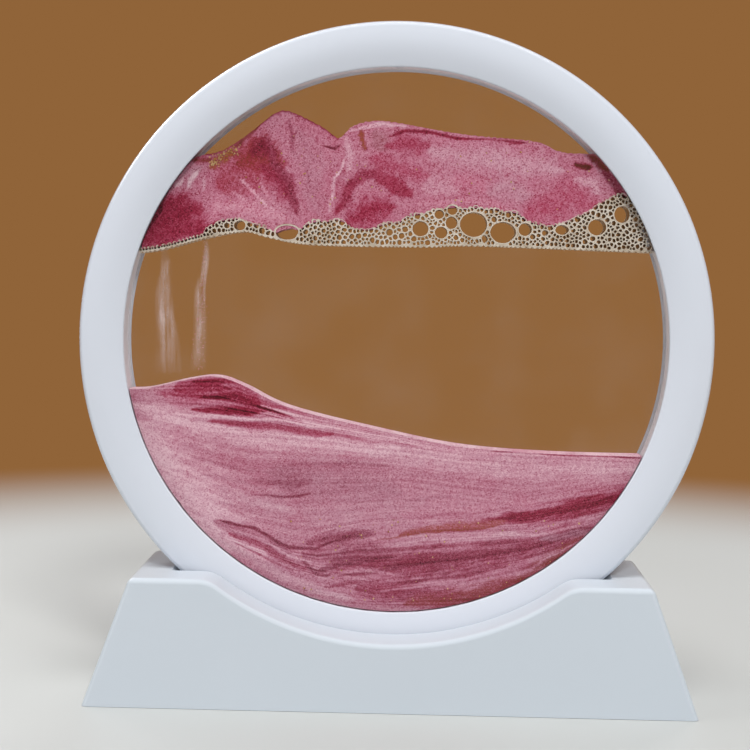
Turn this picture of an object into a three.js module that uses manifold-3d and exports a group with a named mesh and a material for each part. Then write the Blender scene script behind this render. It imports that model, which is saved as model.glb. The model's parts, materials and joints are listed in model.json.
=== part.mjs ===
// A moving sand art frame: a white ring holds a sealed glass cell of water, sand and bubbles,
// and the ring sits in the curved groove of a hollow stand.
// Units are millimetres. +Z is up, -Y is the front, and the origin is the middle of the stand's underside.
import * as THREE from "three";
import { mergeVertices } from "three/addons/utils/BufferGeometryUtils.js";
import Module from "manifold-3d";

const wasm = await Module();
wasm.setup();

// Driving dimensions of the ring
const RING_RADIUS = 90;
const RING_THICKNESS = 16;
const RING_CENTRE_HEIGHT = 101.7;
const RING_EDGE_RADIUS = 7;
const RING_WALL = 2;
const FRONT_APERTURE_RADIUS = 76.4;
const REAR_APERTURE_RADIUS = 77;
const APERTURE_EDGE_RADIUS = 0.9;
const LIP_THICKNESS = 1.3;
const TONGUE_WIDTH = 0.8;
const TONGUE_HEIGHT = 1;

// Driving dimensions of the glass cell
const PANE_RADIUS = 80.8;
const PANE_THICKNESS = 1.8;
const CUSHION_THICKNESS = 0.5;
const SEAL_THICKNESS = 0.5;
const SPACER_INNER_RADIUS = 77.4;
const SPACER_OUTER_RADIUS = 79.6;
const PORT_RADIUS = 1.5;
const PLUG_HEAD_RADIUS = 2.1;
const PLUG_HEAD_THICKNESS = 1;

// Driving dimensions of the stand
const STAND_BOTTOM_WIDTH = 171;
const STAND_TOP_WIDTH = 144.6;
const STAND_HEIGHT = 36.3;
const STAND_DEPTH = 42;
const STAND_WALL = 2.2;
const STAND_EDGE_RADIUS = 1.5;
const SADDLE_RADIUS = 82.4;
const SHOULDER_RADIUS = 9;
const RIB_OFFSET = 52;
const RIB_THICKNESS = 1.6;
const RIB_FOOT = 3;

// Clearances and roundness
const GAP = 0.3;
const LAYER_GAP = 0.4;
const GROOVE_CLEARANCE = 0.4;
const ROUND_SIDES = 64;
const SMALL_ROUND_SIDES = 16;
const SKIN_STEPS = 6;
const CHANNEL_STEPS = 4;
const APERTURE_STEPS = 3;
const OUTLINE_STEPS = 14;
const BEVEL_STEPS = 3;
const CURVE_STEPS = 56;

// Places that follow from the driving dimensions
const HALF_THICKNESS = RING_THICKNESS / 2;
const LIP_BACK = HALF_THICKNESS - LIP_THICKNESS;
const POCKET_RADIUS = PANE_RADIUS + 2 * GAP;
const PANE_OUTSIDE = LIP_BACK - CUSHION_THICKNESS - 2 * GAP;
const PANE_INSIDE = PANE_OUTSIDE - PANE_THICKNESS;
const SPACER_HALF_DEPTH = PANE_INSIDE - SEAL_THICKNESS - 2 * GAP;
const FILLING_RADIUS = SPACER_INNER_RADIUS - LAYER_GAP;
const FILLING_DEPTH = 2 * (PANE_INSIDE - GAP);
const GROOVE_RADIUS = RING_RADIUS + GROOVE_CLEARANCE;
const GROOVE_WIDTH = RING_THICKNESS + 2 * GROOVE_CLEARANCE;

const finish = (color, roughness, more = {}) =>
  new THREE.MeshStandardMaterial({ color, roughness, metalness: 0, ...more });
const WHITE_PLASTIC = finish(0xe4e8ee, 0.25);
const SPACER_PLASTIC = finish(0xb9b3bf, 0.4);
const GLASS = finish(0xf2f8f6, 0.03, { transparent: true, opacity: 0.2 });
const WATER = finish(0xf4f6f4, 0.02, { transparent: true, opacity: 0.1 });
const RUBBER = finish(0x8c8a90, 0.8);
const CRIMSON_SAND = finish(0xa8375e, 0.9);
const PINK_SAND = finish(0xd08aa4, 0.9);
const ROSE_SAND = finish(0xc77392, 0.9);
const DARK_SAND = finish(0x9c4a68, 0.9);
const FOAM = finish(0xe2d8c8, 0.6);

// A closed geometry as a solid that can be cut and joined.
function solidOf(geometry) {
  const bare = geometry.index ? geometry.clone() : geometry;
  bare.deleteAttribute("normal");
  bare.deleteAttribute("uv");
  const merged = mergeVertices(bare, 1e-4);
  return new wasm.Manifold(
    new wasm.Mesh({
      numProp: 3,
      vertProperties: merged.attributes.position.array,
      triVerts: new Uint32Array(merged.index.array),
    }),
  );
}

// A cut or joined solid as a geometry again.
function geometryOf(solid) {
  const mesh = solid.getMesh();
  const geometry = new THREE.BufferGeometry();
  geometry.setAttribute("position", new THREE.BufferAttribute(mesh.vertProperties, 3));
  geometry.setIndex(new THREE.BufferAttribute(mesh.triVerts, 1));
  geometry.computeVertexNormals();
  return geometry;
}

function addPiece(group, name, geometry, material) {
  const piece = new THREE.Mesh(geometry, material);
  piece.name = name;
  group.add(piece);
  return piece;
}

// A flat outline drawn as seen from the front, made as deep as asked and centred on the ring's middle plane.
function frontExtrusion(shape, depth, bevel = {}) {
  const settings = { depth, bevelEnabled: false, curveSegments: OUTLINE_STEPS, ...bevel };
  const geometry = new THREE.ExtrudeGeometry(shape, settings);
  geometry.translate(0, 0, -depth / 2);
  geometry.rotateX(Math.PI / 2);
  return geometry;
}

// A closed section, given as radius and depth, turned about the ring's axis.
function turned(section) {
  const points = section.map(([radius, depth]) => new THREE.Vector2(radius, depth));
  points.push(points[0].clone());
  return new THREE.LatheGeometry(points, ROUND_SIDES);
}

function squareSection(innerRadius, outerRadius, low, high) {
  return [
    [innerRadius, low],
    [outerRadius, low],
    [outerRadius, high],
    [innerRadius, high],
  ];
}

// Points along a round from one angle to another about a centre, both ends included.
function arcPoints([radius, depth], size, fromAngle, toAngle, steps) {
  return Array.from({ length: steps + 1 }, (_, step) => {
    const angle = fromAngle + ((toAngle - fromAngle) * step) / steps;
    return [radius + size * Math.cos(angle), depth + size * Math.sin(angle)];
  });
}

// The section of one half of the ring, drawn for the rear: a lip, a rounded skin and a cored-out channel.
function ringHalfSection(apertureRadius, seam) {
  const quarter = Math.PI / 2;
  const skinCentre = [RING_RADIUS - RING_EDGE_RADIUS, HALF_THICKNESS - RING_EDGE_RADIUS];
  const lipCentre = [apertureRadius + APERTURE_EDGE_RADIUS, HALF_THICKNESS - APERTURE_EDGE_RADIUS];
  return [
    ...seam,
    ...arcPoints(skinCentre, RING_EDGE_RADIUS, 0, quarter, SKIN_STEPS),
    ...arcPoints(lipCentre, APERTURE_EDGE_RADIUS, quarter, 2 * quarter, APERTURE_STEPS),
    [apertureRadius, LIP_BACK],
    [POCKET_RADIUS, LIP_BACK],
    [POCKET_RADIUS, GAP / 2],
    [skinCentre[0], GAP / 2],
    ...arcPoints(skinCentre, RING_EDGE_RADIUS - RING_WALL, quarter, 0, CHANNEL_STEPS),
  ];
}

// The front half has a tongue at its seam, and the rear half a rebate that the tongue enters.
function ringHalves() {
  const skinInside = RING_RADIUS - RING_WALL;
  const tongueSeam = [
    [skinInside, -TONGUE_HEIGHT],
    [skinInside + TONGUE_WIDTH, -TONGUE_HEIGHT],
    [skinInside + TONGUE_WIDTH, GAP / 2],
    [RING_RADIUS, GAP / 2],
  ];
  const rebateSeam = [
    [skinInside, TONGUE_HEIGHT + GAP],
    [skinInside + TONGUE_WIDTH + GAP, TONGUE_HEIGHT + GAP],
    [skinInside + TONGUE_WIDTH + GAP, GAP / 2],
    [RING_RADIUS, GAP / 2],
  ];
  const frontSection = ringHalfSection(FRONT_APERTURE_RADIUS, tongueSeam)
    .map(([radius, depth]) => [radius, -depth])
    .reverse();
  return {
    front: turned(frontSection),
    rear: turned(ringHalfSection(REAR_APERTURE_RADIUS, rebateSeam)),
  };
}

// A radial port at the top of the spacer, and the plug that closes it.
function spacerWithPort() {
  const widths = [SPACER_INNER_RADIUS, SPACER_OUTER_RADIUS];
  const ring = turned(squareSection(...widths, -SPACER_HALF_DEPTH, SPACER_HALF_DEPTH));
  const portLength = 2 * (SPACER_OUTER_RADIUS - SPACER_INNER_RADIUS);
  const port = new THREE.CylinderGeometry(PORT_RADIUS, PORT_RADIUS, portLength, SMALL_ROUND_SIDES);
  port.rotateX(Math.PI / 2);
  port.translate(0, 0, (SPACER_INNER_RADIUS + SPACER_OUTER_RADIUS) / 2);
  return geometryOf(solidOf(ring).subtract(solidOf(port)));
}

function fillPlug() {
  const stemRadius = PORT_RADIUS - GAP;
  const headBottom = SPACER_OUTER_RADIUS + GAP;
  const headTop = headBottom + PLUG_HEAD_THICKNESS;
  const outline = [
    [0, SPACER_INNER_RADIUS + GAP],
    [stemRadius, SPACER_INNER_RADIUS + GAP],
    [stemRadius, headBottom],
    [PLUG_HEAD_RADIUS, headBottom],
    [PLUG_HEAD_RADIUS, headTop],
    [0, headTop],
  ];
  const points = outline.map(([radius, height]) => new THREE.Vector2(radius, height));
  return new THREE.LatheGeometry(points, SMALL_ROUND_SIDES).rotateX(Math.PI / 2);
}

// Outlines of the filling as seen from the front, measured from the ring's centre, from left to right
const SAND_TOP = [
  [-80, 44],
  [-57, 51.4],
  [-49, 53.5],
  [-40, 59.7],
  [-35.4, 63.4],
  [-31.9, 64.7],
  [-27, 63],
  [-20.5, 59.7],
  [-16.6, 57],
  [-13.5, 60.2],
  [-8.8, 61.8],
  [-2.3, 61.9],
  [18.4, 58.6],
  [38.5, 56.9],
  [48.5, 53.7],
  [80, 55],
];
const SAND_BOTTOM = [
  [-80, 26],
  [-66.6, 27.6],
  [-61.5, 30.3],
  [-55, 30.8],
  [-50, 33.4],
  [-43.4, 34.1],
  [-33.7, 31.1],
  [-18.2, 34.6],
  [-11, 31.6],
  [-1.3, 33.9],
  [8.8, 37.2],
  [18.1, 38.4],
  [32.2, 37.3],
  [38.8, 34],
  [45.5, 34],
  [54, 38],
  [62.1, 42.5],
  [80, 43],
];
const FOAM_BOTTOM = [
  [-80, 23.6],
  [-66.6, 25.6],
  [-55, 28.8],
  [-43.3, 31],
  [-36.8, 29.6],
  [-24, 27.6],
  [6.4, 27.4],
  [18.8, 27.9],
  [38.9, 27.6],
  [80, 26.5],
];
const DUNE_TOP = [
  [-80, -14],
  [-71.2, -14.2],
  [-58.3, -11.2],
  [-50.4, -10.4],
  [-42.8, -12.9],
  [-29.7, -18.9],
  [-3.9, -24.9],
  [19.6, -29.2],
  [46.4, -30.8],
  [80, -31],
];
const BED_TOP = [
  [-80, -28],
  [-68.8, -37.9],
  [-54.6, -51.8],
  [-23.3, -65.5],
  [-17.7, -66],
  [0.5, -58.1],
  [35.7, -52],
  [58.2, -48],
  [80, -36],
];
const BLOCK_EDGE = -54;
const CREASE = -16.6;
const STREAM_PLACE = -54.6;
const STREAM_TOP_RADIUS = 0.9;
const STREAM_FOOT_RADIUS = 1.5;
const STREAM_END_GAP = 1.2;
const CHANNEL_OVERRUN = 4;

const curveThrough = (points) => new THREE.SplineCurve(points.map(([x, z]) => new THREE.Vector2(x, z)));

// Everything above, or below, a curve drawn from left to right, half a gap away from it.
function sideOfCurve(points, upward) {
  const reach = upward ? 2 * FILLING_RADIUS : -2 * FILLING_RADIUS;
  const shift = upward ? LAYER_GAP / 2 : -LAYER_GAP / 2;
  const line = curveThrough(points).getPoints(CURVE_STEPS);
  const shape = new THREE.Shape();
  shape.moveTo(line[0].x, reach);
  line.forEach((point) => shape.lineTo(point.x, point.y + shift));
  shape.lineTo(line[CURVE_STEPS].x, reach);
  shape.closePath();
  return solidOf(frontExtrusion(shape, 2 * FILLING_DEPTH));
}

// Everything between two places across the width, half a gap inside each.
function betweenPlaces(left, right) {
  const width = right - left - GAP;
  const slab = new THREE.BoxGeometry(width, 2 * FILLING_DEPTH, 4 * FILLING_RADIUS);
  slab.translate((left + right) / 2, 0, 0);
  return solidOf(slab);
}

function heightAt(points, place) {
  const distance = (point) => Math.abs(point.x - place);
  const line = curveThrough(points).getPoints(CURVE_STEPS);
  return line.reduce((best, point) => (distance(point) < distance(best) ? point : best)).y;
}

// The falling stream, or with a clearance the channel that it leaves right through the water.
function taperedStream(clearance) {
  const overrun = clearance > 0 ? CHANNEL_OVERRUN : -STREAM_END_GAP;
  const top = heightAt(FOAM_BOTTOM, STREAM_PLACE) + overrun;
  const foot = heightAt(DUNE_TOP, STREAM_PLACE) - overrun;
  const radii = [STREAM_TOP_RADIUS + clearance, STREAM_FOOT_RADIUS + clearance];
  const stream = new THREE.CylinderGeometry(...radii, top - foot, SMALL_ROUND_SIDES);
  stream.rotateX(Math.PI / 2);
  stream.translate(STREAM_PLACE, 0, (top + foot) / 2);
  return stream;
}

// The filling is one thick disc, cut into layers by the curves of its surfaces.
function addFilling(group) {
  const round = new THREE.CylinderGeometry(FILLING_RADIUS, FILLING_RADIUS, FILLING_DEPTH, ROUND_SIDES);
  const disc = solidOf(round);
  const above = (points) => sideOfCurve(points, true);
  const below = (points) => sideOfCurve(points, false);
  const upperSand = disc.intersect(above(SAND_BOTTOM)).intersect(below(SAND_TOP));
  const dune = disc.intersect(below(DUNE_TOP));
  const openWater = disc.intersect(below(FOAM_BOTTOM)).intersect(above(DUNE_TOP));
  const pieces = [
    ["upper_liquid", disc.intersect(above(SAND_TOP)), WATER],
    ["upper_sand_left", upperSand.intersect(betweenPlaces(-FILLING_RADIUS, BLOCK_EDGE)), CRIMSON_SAND],
    ["upper_sand_mound", upperSand.intersect(betweenPlaces(BLOCK_EDGE, CREASE)), PINK_SAND],
    ["upper_sand_ridge", upperSand.intersect(betweenPlaces(CREASE, FILLING_RADIUS)), PINK_SAND],
    ["bubble_layer", disc.intersect(above(FOAM_BOTTOM)).intersect(below(SAND_BOTTOM)), FOAM],
    ["lower_liquid", openWater.subtract(solidOf(taperedStream(GAP))), WATER],
    ["lower_sand_drift", dune.intersect(above(BED_TOP)), ROSE_SAND],
    ["lower_sand_bed", disc.intersect(below(BED_TOP)), DARK_SAND],
  ];
  pieces.forEach(([name, solid, material]) => addPiece(group, name, geometryOf(solid), material));
  addPiece(group, "sand_stream", taperedStream(0), PINK_SAND);
}

// The sealed glass cell: two panes on a spacer, with a seal inside and a soft cushion outside each pane.
function addCell(group) {
  addPiece(group, "spacer_ring", spacerWithPort(), SPACER_PLASTIC);
  addPiece(group, "fill_plug", fillPlug(), RUBBER);
  const sealWidth = [SPACER_INNER_RADIUS, SPACER_OUTER_RADIUS];
  const cushionWidth = [SPACER_INNER_RADIUS, PANE_RADIUS];
  const sealInside = SPACER_HALF_DEPTH + GAP;
  const cushionInside = PANE_OUTSIDE + GAP;
  const sides = { front: -1, rear: 1 };
  Object.entries(sides).forEach(([side, sign]) => {
    const seal = turned(squareSection(...sealWidth, sealInside, sealInside + SEAL_THICKNESS));
    const cushion = turned(squareSection(...cushionWidth, cushionInside, cushionInside + CUSHION_THICKNESS));
    const pane = new THREE.CylinderGeometry(PANE_RADIUS, PANE_RADIUS, PANE_THICKNESS, ROUND_SIDES);
    pane.translate(0, PANE_INSIDE + PANE_THICKNESS / 2, 0);
    const made = { seal: [seal, RUBBER], pane: [pane, GLASS], cushion: [cushion, RUBBER] };
    Object.entries(made).forEach(([kind, [geometry, material]]) => {
      const piece = addPiece(group, `${side}_${kind}`, geometry, material);
      piece.rotation.z = sign < 0 ? Math.PI : 0;
    });
  });
}

// The front outline of the stand, shrunk all round by a wall: sloping ends, flat lands, a saddle between.
function standOutline(wall, foot) {
  const shape = new THREE.Shape();
  const land = STAND_HEIGHT - wall;
  const saddle = SADDLE_RADIUS + wall;
  const shoulder = SHOULDER_RADIUS - wall;
  const lean = (STAND_BOTTOM_WIDTH - STAND_TOP_WIDTH) / 2 / STAND_HEIGHT;
  const endWall = wall * Math.hypot(1, lean);
  const endPlace = (height) => STAND_BOTTOM_WIDTH / 2 - lean * height - endWall;
  const corner = STAND_EDGE_RADIUS;
  const shoulderDrop = RING_CENTRE_HEIGHT - land + shoulder;
  const shoulderPlace = Math.sqrt((saddle + shoulder) ** 2 - shoulderDrop ** 2);
  const turn = Math.atan2(-shoulderDrop, shoulderPlace);
  const shoulderHeight = land - shoulder;
  shape.moveTo(-endPlace(foot), foot);
  shape.lineTo(endPlace(foot), foot);
  shape.lineTo(endPlace(land - corner), land - corner);
  shape.lineTo(endPlace(land) - corner, land);
  shape.lineTo(shoulderPlace, land);
  shape.absarc(shoulderPlace, shoulderHeight, shoulder, Math.PI / 2, Math.PI + turn, false);
  shape.absarc(0, RING_CENTRE_HEIGHT, saddle, turn, -Math.PI - turn, true);
  shape.absarc(-shoulderPlace, shoulderHeight, shoulder, -turn, Math.PI / 2, false);
  shape.lineTo(-endPlace(land) + corner, land);
  shape.lineTo(-endPlace(land - corner), land - corner);
  shape.closePath();
  return shape;
}

function discAtRing(radius, width) {
  const disc = new THREE.CylinderGeometry(radius, radius, width, ROUND_SIDES);
  return solidOf(disc.translate(0, 0, RING_CENTRE_HEIGHT));
}

// The stand is a shell of even wall, open underneath, with two cross ribs.
function standShell() {
  const below = -4 * STAND_WALL;
  const bevel = {
    bevelEnabled: true,
    bevelThickness: STAND_EDGE_RADIUS,
    bevelSize: STAND_EDGE_RADIUS,
    bevelOffset: -STAND_EDGE_RADIUS,
    bevelSegments: BEVEL_STEPS,
  };
  const block = solidOf(frontExtrusion(standOutline(0, below), STAND_DEPTH - 2 * STAND_EDGE_RADIUS, bevel));
  const floor = new THREE.BoxGeometry(2 * STAND_BOTTOM_WIDTH, 2 * STAND_DEPTH, -4 * below);
  const underside = solidOf(floor.translate(0, 0, 2 * below));
  const groove = discAtRing(GROOVE_RADIUS, GROOVE_WIDTH);
  const jacket = discAtRing(GROOVE_RADIUS + STAND_WALL, GROOVE_WIDTH + 2 * STAND_WALL);
  const inside = solidOf(frontExtrusion(standOutline(STAND_WALL, below), STAND_DEPTH - 2 * STAND_WALL));
  const ribs = [-RIB_OFFSET, RIB_OFFSET].map((place) => {
    const rib = new THREE.BoxGeometry(RIB_THICKNESS, STAND_DEPTH, STAND_HEIGHT);
    return solidOf(rib.translate(place, 0, RIB_FOOT + STAND_HEIGHT / 2));
  });
  const hollow = ribs.reduce((left, rib) => left.subtract(rib), inside.subtract(jacket));
  return geometryOf(block.subtract(underside).subtract(groove).subtract(hollow));
}

const sandFrame = new THREE.Group();
addPiece(sandFrame, "stand_shell", standShell(), WHITE_PLASTIC);

const disc = new THREE.Group();
disc.position.z = RING_CENTRE_HEIGHT;
const halves = ringHalves();
addPiece(disc, "front_ring", halves.front, WHITE_PLASTIC);
addPiece(disc, "rear_ring", halves.rear, WHITE_PLASTIC);
addCell(disc);
addFilling(disc);
sandFrame.add(disc);

export default sandFrame;
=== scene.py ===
"""A moving sand art frame: a white ring with a sealed cell of water, sand and bubbles, in a hollow stand.

The main sizes and places come from the frame. Units are metres, +Z is up and -Y is the front.
"""

import json
import math
from typing import NamedTuple

import bmesh
import bpy
import numpy as np
from bpy.props import FloatProperty, FloatVectorProperty, IntProperty, PointerProperty
from mathutils import Matrix, Vector
from mathutils.geometry import delaunay_2d_cdt

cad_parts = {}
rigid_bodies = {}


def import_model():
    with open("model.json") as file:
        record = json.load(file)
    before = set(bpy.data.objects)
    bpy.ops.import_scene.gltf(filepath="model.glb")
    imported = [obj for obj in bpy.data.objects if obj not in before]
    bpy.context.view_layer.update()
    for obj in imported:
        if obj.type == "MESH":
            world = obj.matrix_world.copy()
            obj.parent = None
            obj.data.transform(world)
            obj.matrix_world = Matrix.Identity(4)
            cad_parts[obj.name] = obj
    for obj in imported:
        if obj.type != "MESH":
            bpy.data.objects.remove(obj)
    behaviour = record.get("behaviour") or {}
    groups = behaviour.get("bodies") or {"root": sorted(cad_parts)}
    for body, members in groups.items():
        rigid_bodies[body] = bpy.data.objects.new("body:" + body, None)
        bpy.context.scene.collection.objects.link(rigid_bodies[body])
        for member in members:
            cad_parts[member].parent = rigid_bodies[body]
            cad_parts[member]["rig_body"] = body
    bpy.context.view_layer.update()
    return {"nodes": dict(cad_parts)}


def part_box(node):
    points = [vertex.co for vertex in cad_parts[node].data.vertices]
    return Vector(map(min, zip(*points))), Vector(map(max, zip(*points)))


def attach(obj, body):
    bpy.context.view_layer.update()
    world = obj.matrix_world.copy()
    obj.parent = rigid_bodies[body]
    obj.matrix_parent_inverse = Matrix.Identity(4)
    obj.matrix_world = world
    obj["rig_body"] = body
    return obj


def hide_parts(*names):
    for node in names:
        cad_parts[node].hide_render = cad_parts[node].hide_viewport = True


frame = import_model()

bl_info = {
    "name": "Moving sand art frame",
    "version": (1, 0, 0),
    "blender": (4, 5, 0),
    "location": "3D View > Sidebar > Sand frame",
    "description": "Dresses a moving sand art frame: stand, ring, glass cell, water, sand and bubbles",
    "category": "Add Mesh",
}

MM = 0.001
RING_LOW, RING_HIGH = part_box("front_ring")
RING_CENTRE = (RING_LOW.z + RING_HIGH.z) / 2
STAND_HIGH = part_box("stand_shell")[1]
PANE_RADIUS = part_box("front_pane")[1].x
FILLING_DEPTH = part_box("upper_liquid")[1].y
SMOOTH_ANGLE = math.radians(40)
SAND_SMOOTH_ANGLE = math.radians(60)

# How much smaller the ring is, and how much wider its front opening, than in the frame
RING_TRIM = 0.4 * MM
APERTURE_TRIM = 0.3 * MM

# Room round the glass in its pocket, and under the ring in its groove
GLASS_ROOM = 0.6 * MM
GROOVE_ROOM = 0.4 * MM

# Relief of the finest skin, such as peel, pebbles and grains
SKIN_RELIEF = 0.1 * MM

# Places nearer to each other than this count as one
SAME_PLACE = 0.0001 * MM


def radii(node):
    """Least and greatest distance of a node's points from the ring's axis."""
    found = [math.hypot(v.co.x, v.co.z - RING_CENTRE) for v in frame["nodes"][node].data.vertices]
    return min(found), max(found)


def srgb(red, green, blue):
    """A colour written as 0 to 255, as the linear colour that the shaders use."""
    shares = (channel / 255 for channel in (red, green, blue))
    linear = (s / 12.92 if s <= 0.04045 else ((s + 0.055) / 1.055) ** 2.4 for s in shares)
    return (*linear, 1.0)


def length(name, description, default):
    return FloatProperty(name=name, description=description, default=default, unit="LENGTH", precision=5)


def power(name, description, watts):
    return FloatProperty(name=name, description=description, default=watts, unit="POWER")


def angle(name, description, degrees):
    return FloatProperty(name=name, description=description, default=math.radians(degrees), subtype="ANGLE")


def colour(name, description, *default):
    return FloatVectorProperty(
        name=name, description=description, default=srgb(*default), size=4, min=0, max=1, subtype="COLOR"
    )


class RingSizes(bpy.types.PropertyGroup):
    """Sizes of the white ring and of the glass that it holds."""

    radius: length("Ring radius", "Outside radius of the ring", RING_HIGH.x - RING_TRIM)
    half_thickness: length("Half thickness", "From the middle plane to a face", -RING_LOW.y)
    edge_width: length("Edge width", "Width of the rounded outside edges", 1.8 * MM)
    edge_depth: length("Edge depth", "Depth of the rounded outside edges", 3.6 * MM)
    rise: length("Rise", "How far the face rises from those edges to its crest", 0.45 * MM)
    crest: length("Crest", "Distance of the face's crest from the outside", 6 * MM)
    wall: length("Wall", "Thickness of the skin at the seam", 2 * MM)
    front_aperture: length("Front aperture", "Radius at the front", radii("front_ring")[0] + APERTURE_TRIM)
    rear_aperture: length("Rear aperture", "Radius at the rear", radii("rear_ring")[0])
    aperture_edge: length("Aperture edge", "Rounding of the edge round the glass", 0.75 * MM)
    fall: length("Fall", "How far the face falls from its crest towards the glass", 1.1 * MM)
    fall_power: FloatProperty(name="Fall power", description="1 is a straight fall, 2 a bow", default=1.8)
    lip: length("Lip", "Depth of the lip in front of the glass, from the crest", 1.57 * MM)
    pocket: length("Pocket radius", "Radius of the recess for the glass", PANE_RADIUS + GLASS_ROOM)
    seam: length("Seam", "Gap between the two halves", 0.3 * MM)
    tongue: length("Tongue", "Width of the locating tongue", 0.8 * MM)
    steps: IntProperty(name="Steps", description="Steps round the ring", default=288, min=32)


class StandSizes(bpy.types.PropertyGroup):
    """Sizes of the stand."""

    half_width: length("Half width", "Half the width at the foot", STAND_HIGH.x)
    top_half_width: length("Top half width", "Half the width at the top", 72.3 * MM)
    height: length("Height", "Height of the flat lands", STAND_HIGH.z)
    half_depth: length("Half depth", "Half the depth", STAND_HIGH.y)
    wall: length("Wall", "Wall thickness of the hollow shell", 2.2 * MM)
    edge_radius: length("Edge radius", "Rounding of the outside edges", 1.5 * MM)
    lip_edge: length("Lip edge", "Rounding of the groove's edges", 0.6 * MM)
    saddle: length("Saddle radius", "Radius of the lips below the ring", 82.4 * MM)
    shoulder: length("Shoulder radius", "Rounding from the saddle to the lands", 9 * MM)
    groove: length("Groove radius", "Radius of the groove floor", RING_HIGH.x + GROOVE_ROOM)
    groove_half: length("Groove half width", "Half the width of the groove", 8.4 * MM)
    rib_place: length("Rib place", "Distance of the ribs from the middle", 52 * MM)
    rib_half: length("Rib half thickness", "Half the thickness of a rib", 0.8 * MM)
    rib_foot: length("Rib foot", "Height of the ribs above the table", 3 * MM)


class FillingSizes(bpy.types.PropertyGroup):
    """Sizes of the sand, the bubbles and the water between the panes."""

    radius: length("Filling radius", "Radius of the filled disc", radii("lower_liquid")[1])
    half_depth: length("Half depth", "Half the depth of the filling", FILLING_DEPTH)
    layer_gap: length("Layer gap", "Gap between layers in the frame", 0.4 * MM)
    split_gap: length("Split gap", "Gap between masses side by side in the frame", 0.3 * MM)
    relief: length("Relief", "How far dark bands lie back from the glass", 0.12 * MM)
    column: length("Column", "Spacing of the sand mesh across the width", 0.6 * MM)
    row: length("Row", "Spacing of the sand mesh in height", 0.34 * MM)
    web: length("Web", "Thickness between two bubbles", 0.22 * MM)
    fringe: length("Fringe", "Height of the foam under the crimson block", 0.8 * MM)
    heap: length("Heap", "How unevenly the foam is heaped", 0.55 * MM)
    seed: IntProperty(name="Seed", description="Start of every random draw", default=11)


class FinishColours(bpy.types.PropertyGroup):
    """Colours of the finishes."""

    plastic: colour("Plastic", "White moulded plastic", 214, 218, 226)
    plastic_shade: colour("Plastic shade", "Thicker places in the plastic", 209, 214, 223)
    stand: colour("Stand", "White plastic of the stand", 204, 211, 218)
    stand_shade: colour("Stand shade", "Thicker places in the stand", 199, 207, 214)
    dust: colour("Dust", "Specks on the plastic", 120, 116, 112)
    spacer: colour("Spacer", "Wall of the cell", 248, 246, 249)
    spacer_shade: colour("Spacer shade", "Fine lines in that wall", 204, 196, 208)
    rubber: colour("Rubber", "Seals, cushions and plug", 246, 244, 247)
    rubber_shade: colour("Rubber shade", "Cloudy places in the rubber", 216, 211, 217)
    glass: colour("Glass", "Shine of the panes", 240, 247, 246)
    water: colour("Water", "Clear water", 236, 236, 230)
    water_dust: colour("Water dust", "Faint cloud in the water", 216, 206, 206)
    foam: colour("Foam", "Walls of the small bubbles", 228, 218, 203)
    foam_shade: colour("Foam shade", "Thin places in those walls", 180, 163, 140)
    # Painted shade for the walls of bubbles that turn away from the glass
    foam_side_shade: colour("Foam side", "Walls that turn away from the glass", 178, 150, 118)
    # Painted highlight: the rims are paler than the foam, to stand for the light that they catch
    foam_rim_highlight: colour("Foam rim", "Wet rims of the larger bubbles", 242, 235, 224)
    rust: colour("Rust sand", "Brown and gold grains", 168, 92, 52)
    stream: colour("Stream", "Sand that hangs in the water", 244, 232, 228)
    stream_shade: colour("Stream shade", "Pinker grains of that sand", 236, 206, 208)
    gold: colour("Gold", "Glitter flakes", 204, 138, 62)
    gold_pale: colour("Pale gold", "The palest flakes", 238, 208, 158)


class StageSettings(bpy.types.PropertyGroup):
    """Floor, lights and camera."""

    floor: colour("Floor", "Pale floor near the object", 196, 198, 196)
    floor_shade: colour("Floor shade", "Faint clouds on the floor", 192, 194, 191)
    backdrop: colour("Backdrop", "Colour that the floor fades to", 144, 100, 57)
    fade_start: length("Fade start", "Where the floor begins to fade", 0.27)
    fade_end: length("Fade end", "Where the floor has faded", 0.52)
    world_colour: colour("Room colour", "Colour of the even light", 240, 245, 255)
    world_strength: FloatProperty(name="Room light", description="Strength of the even light", default=0.26)
    key_power: power("Key light", "Soft light from the front", 33)
    top_power: power("Top light", "Wide soft light from above", 52)
    fill_power: power("Fill light", "Weak light from the left", 8)
    back_power: power("Back light", "Soft light from behind", 10)
    strip_power: power("Strip light", "Strip above that only shows as a shine", 1.5)
    edge_power: power("Edge light", "Light at the left that only shows as a shine", 4.7)
    lens: FloatProperty(name="Lens", description="Focal length in millimetres", default=71.2)
    azimuth: angle("Azimuth", "Turn to the right", 1.68)
    elevation: angle("Elevation", "Height of view", 4.09)
    roll: angle("Roll", "Tilt about the line of sight", 0.88)
    distance: length("Distance", "From the camera to its target", 0.424)
    target: FloatVectorProperty(
        name="Target", description="Point at the middle of the picture", default=(-0.00565, 0, 0.0922),
        subtype="TRANSLATION", unit="LENGTH", precision=4,
    )


class SandFrameSettings(bpy.types.PropertyGroup):
    """Everything that a user would change on the sand frame."""

    ring: PointerProperty(type=RingSizes)
    stand: PointerProperty(type=StandSizes)
    filling: PointerProperty(type=FillingSizes)
    colours: PointerProperty(type=FinishColours)
    stage: PointerProperty(type=StageSettings)


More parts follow.
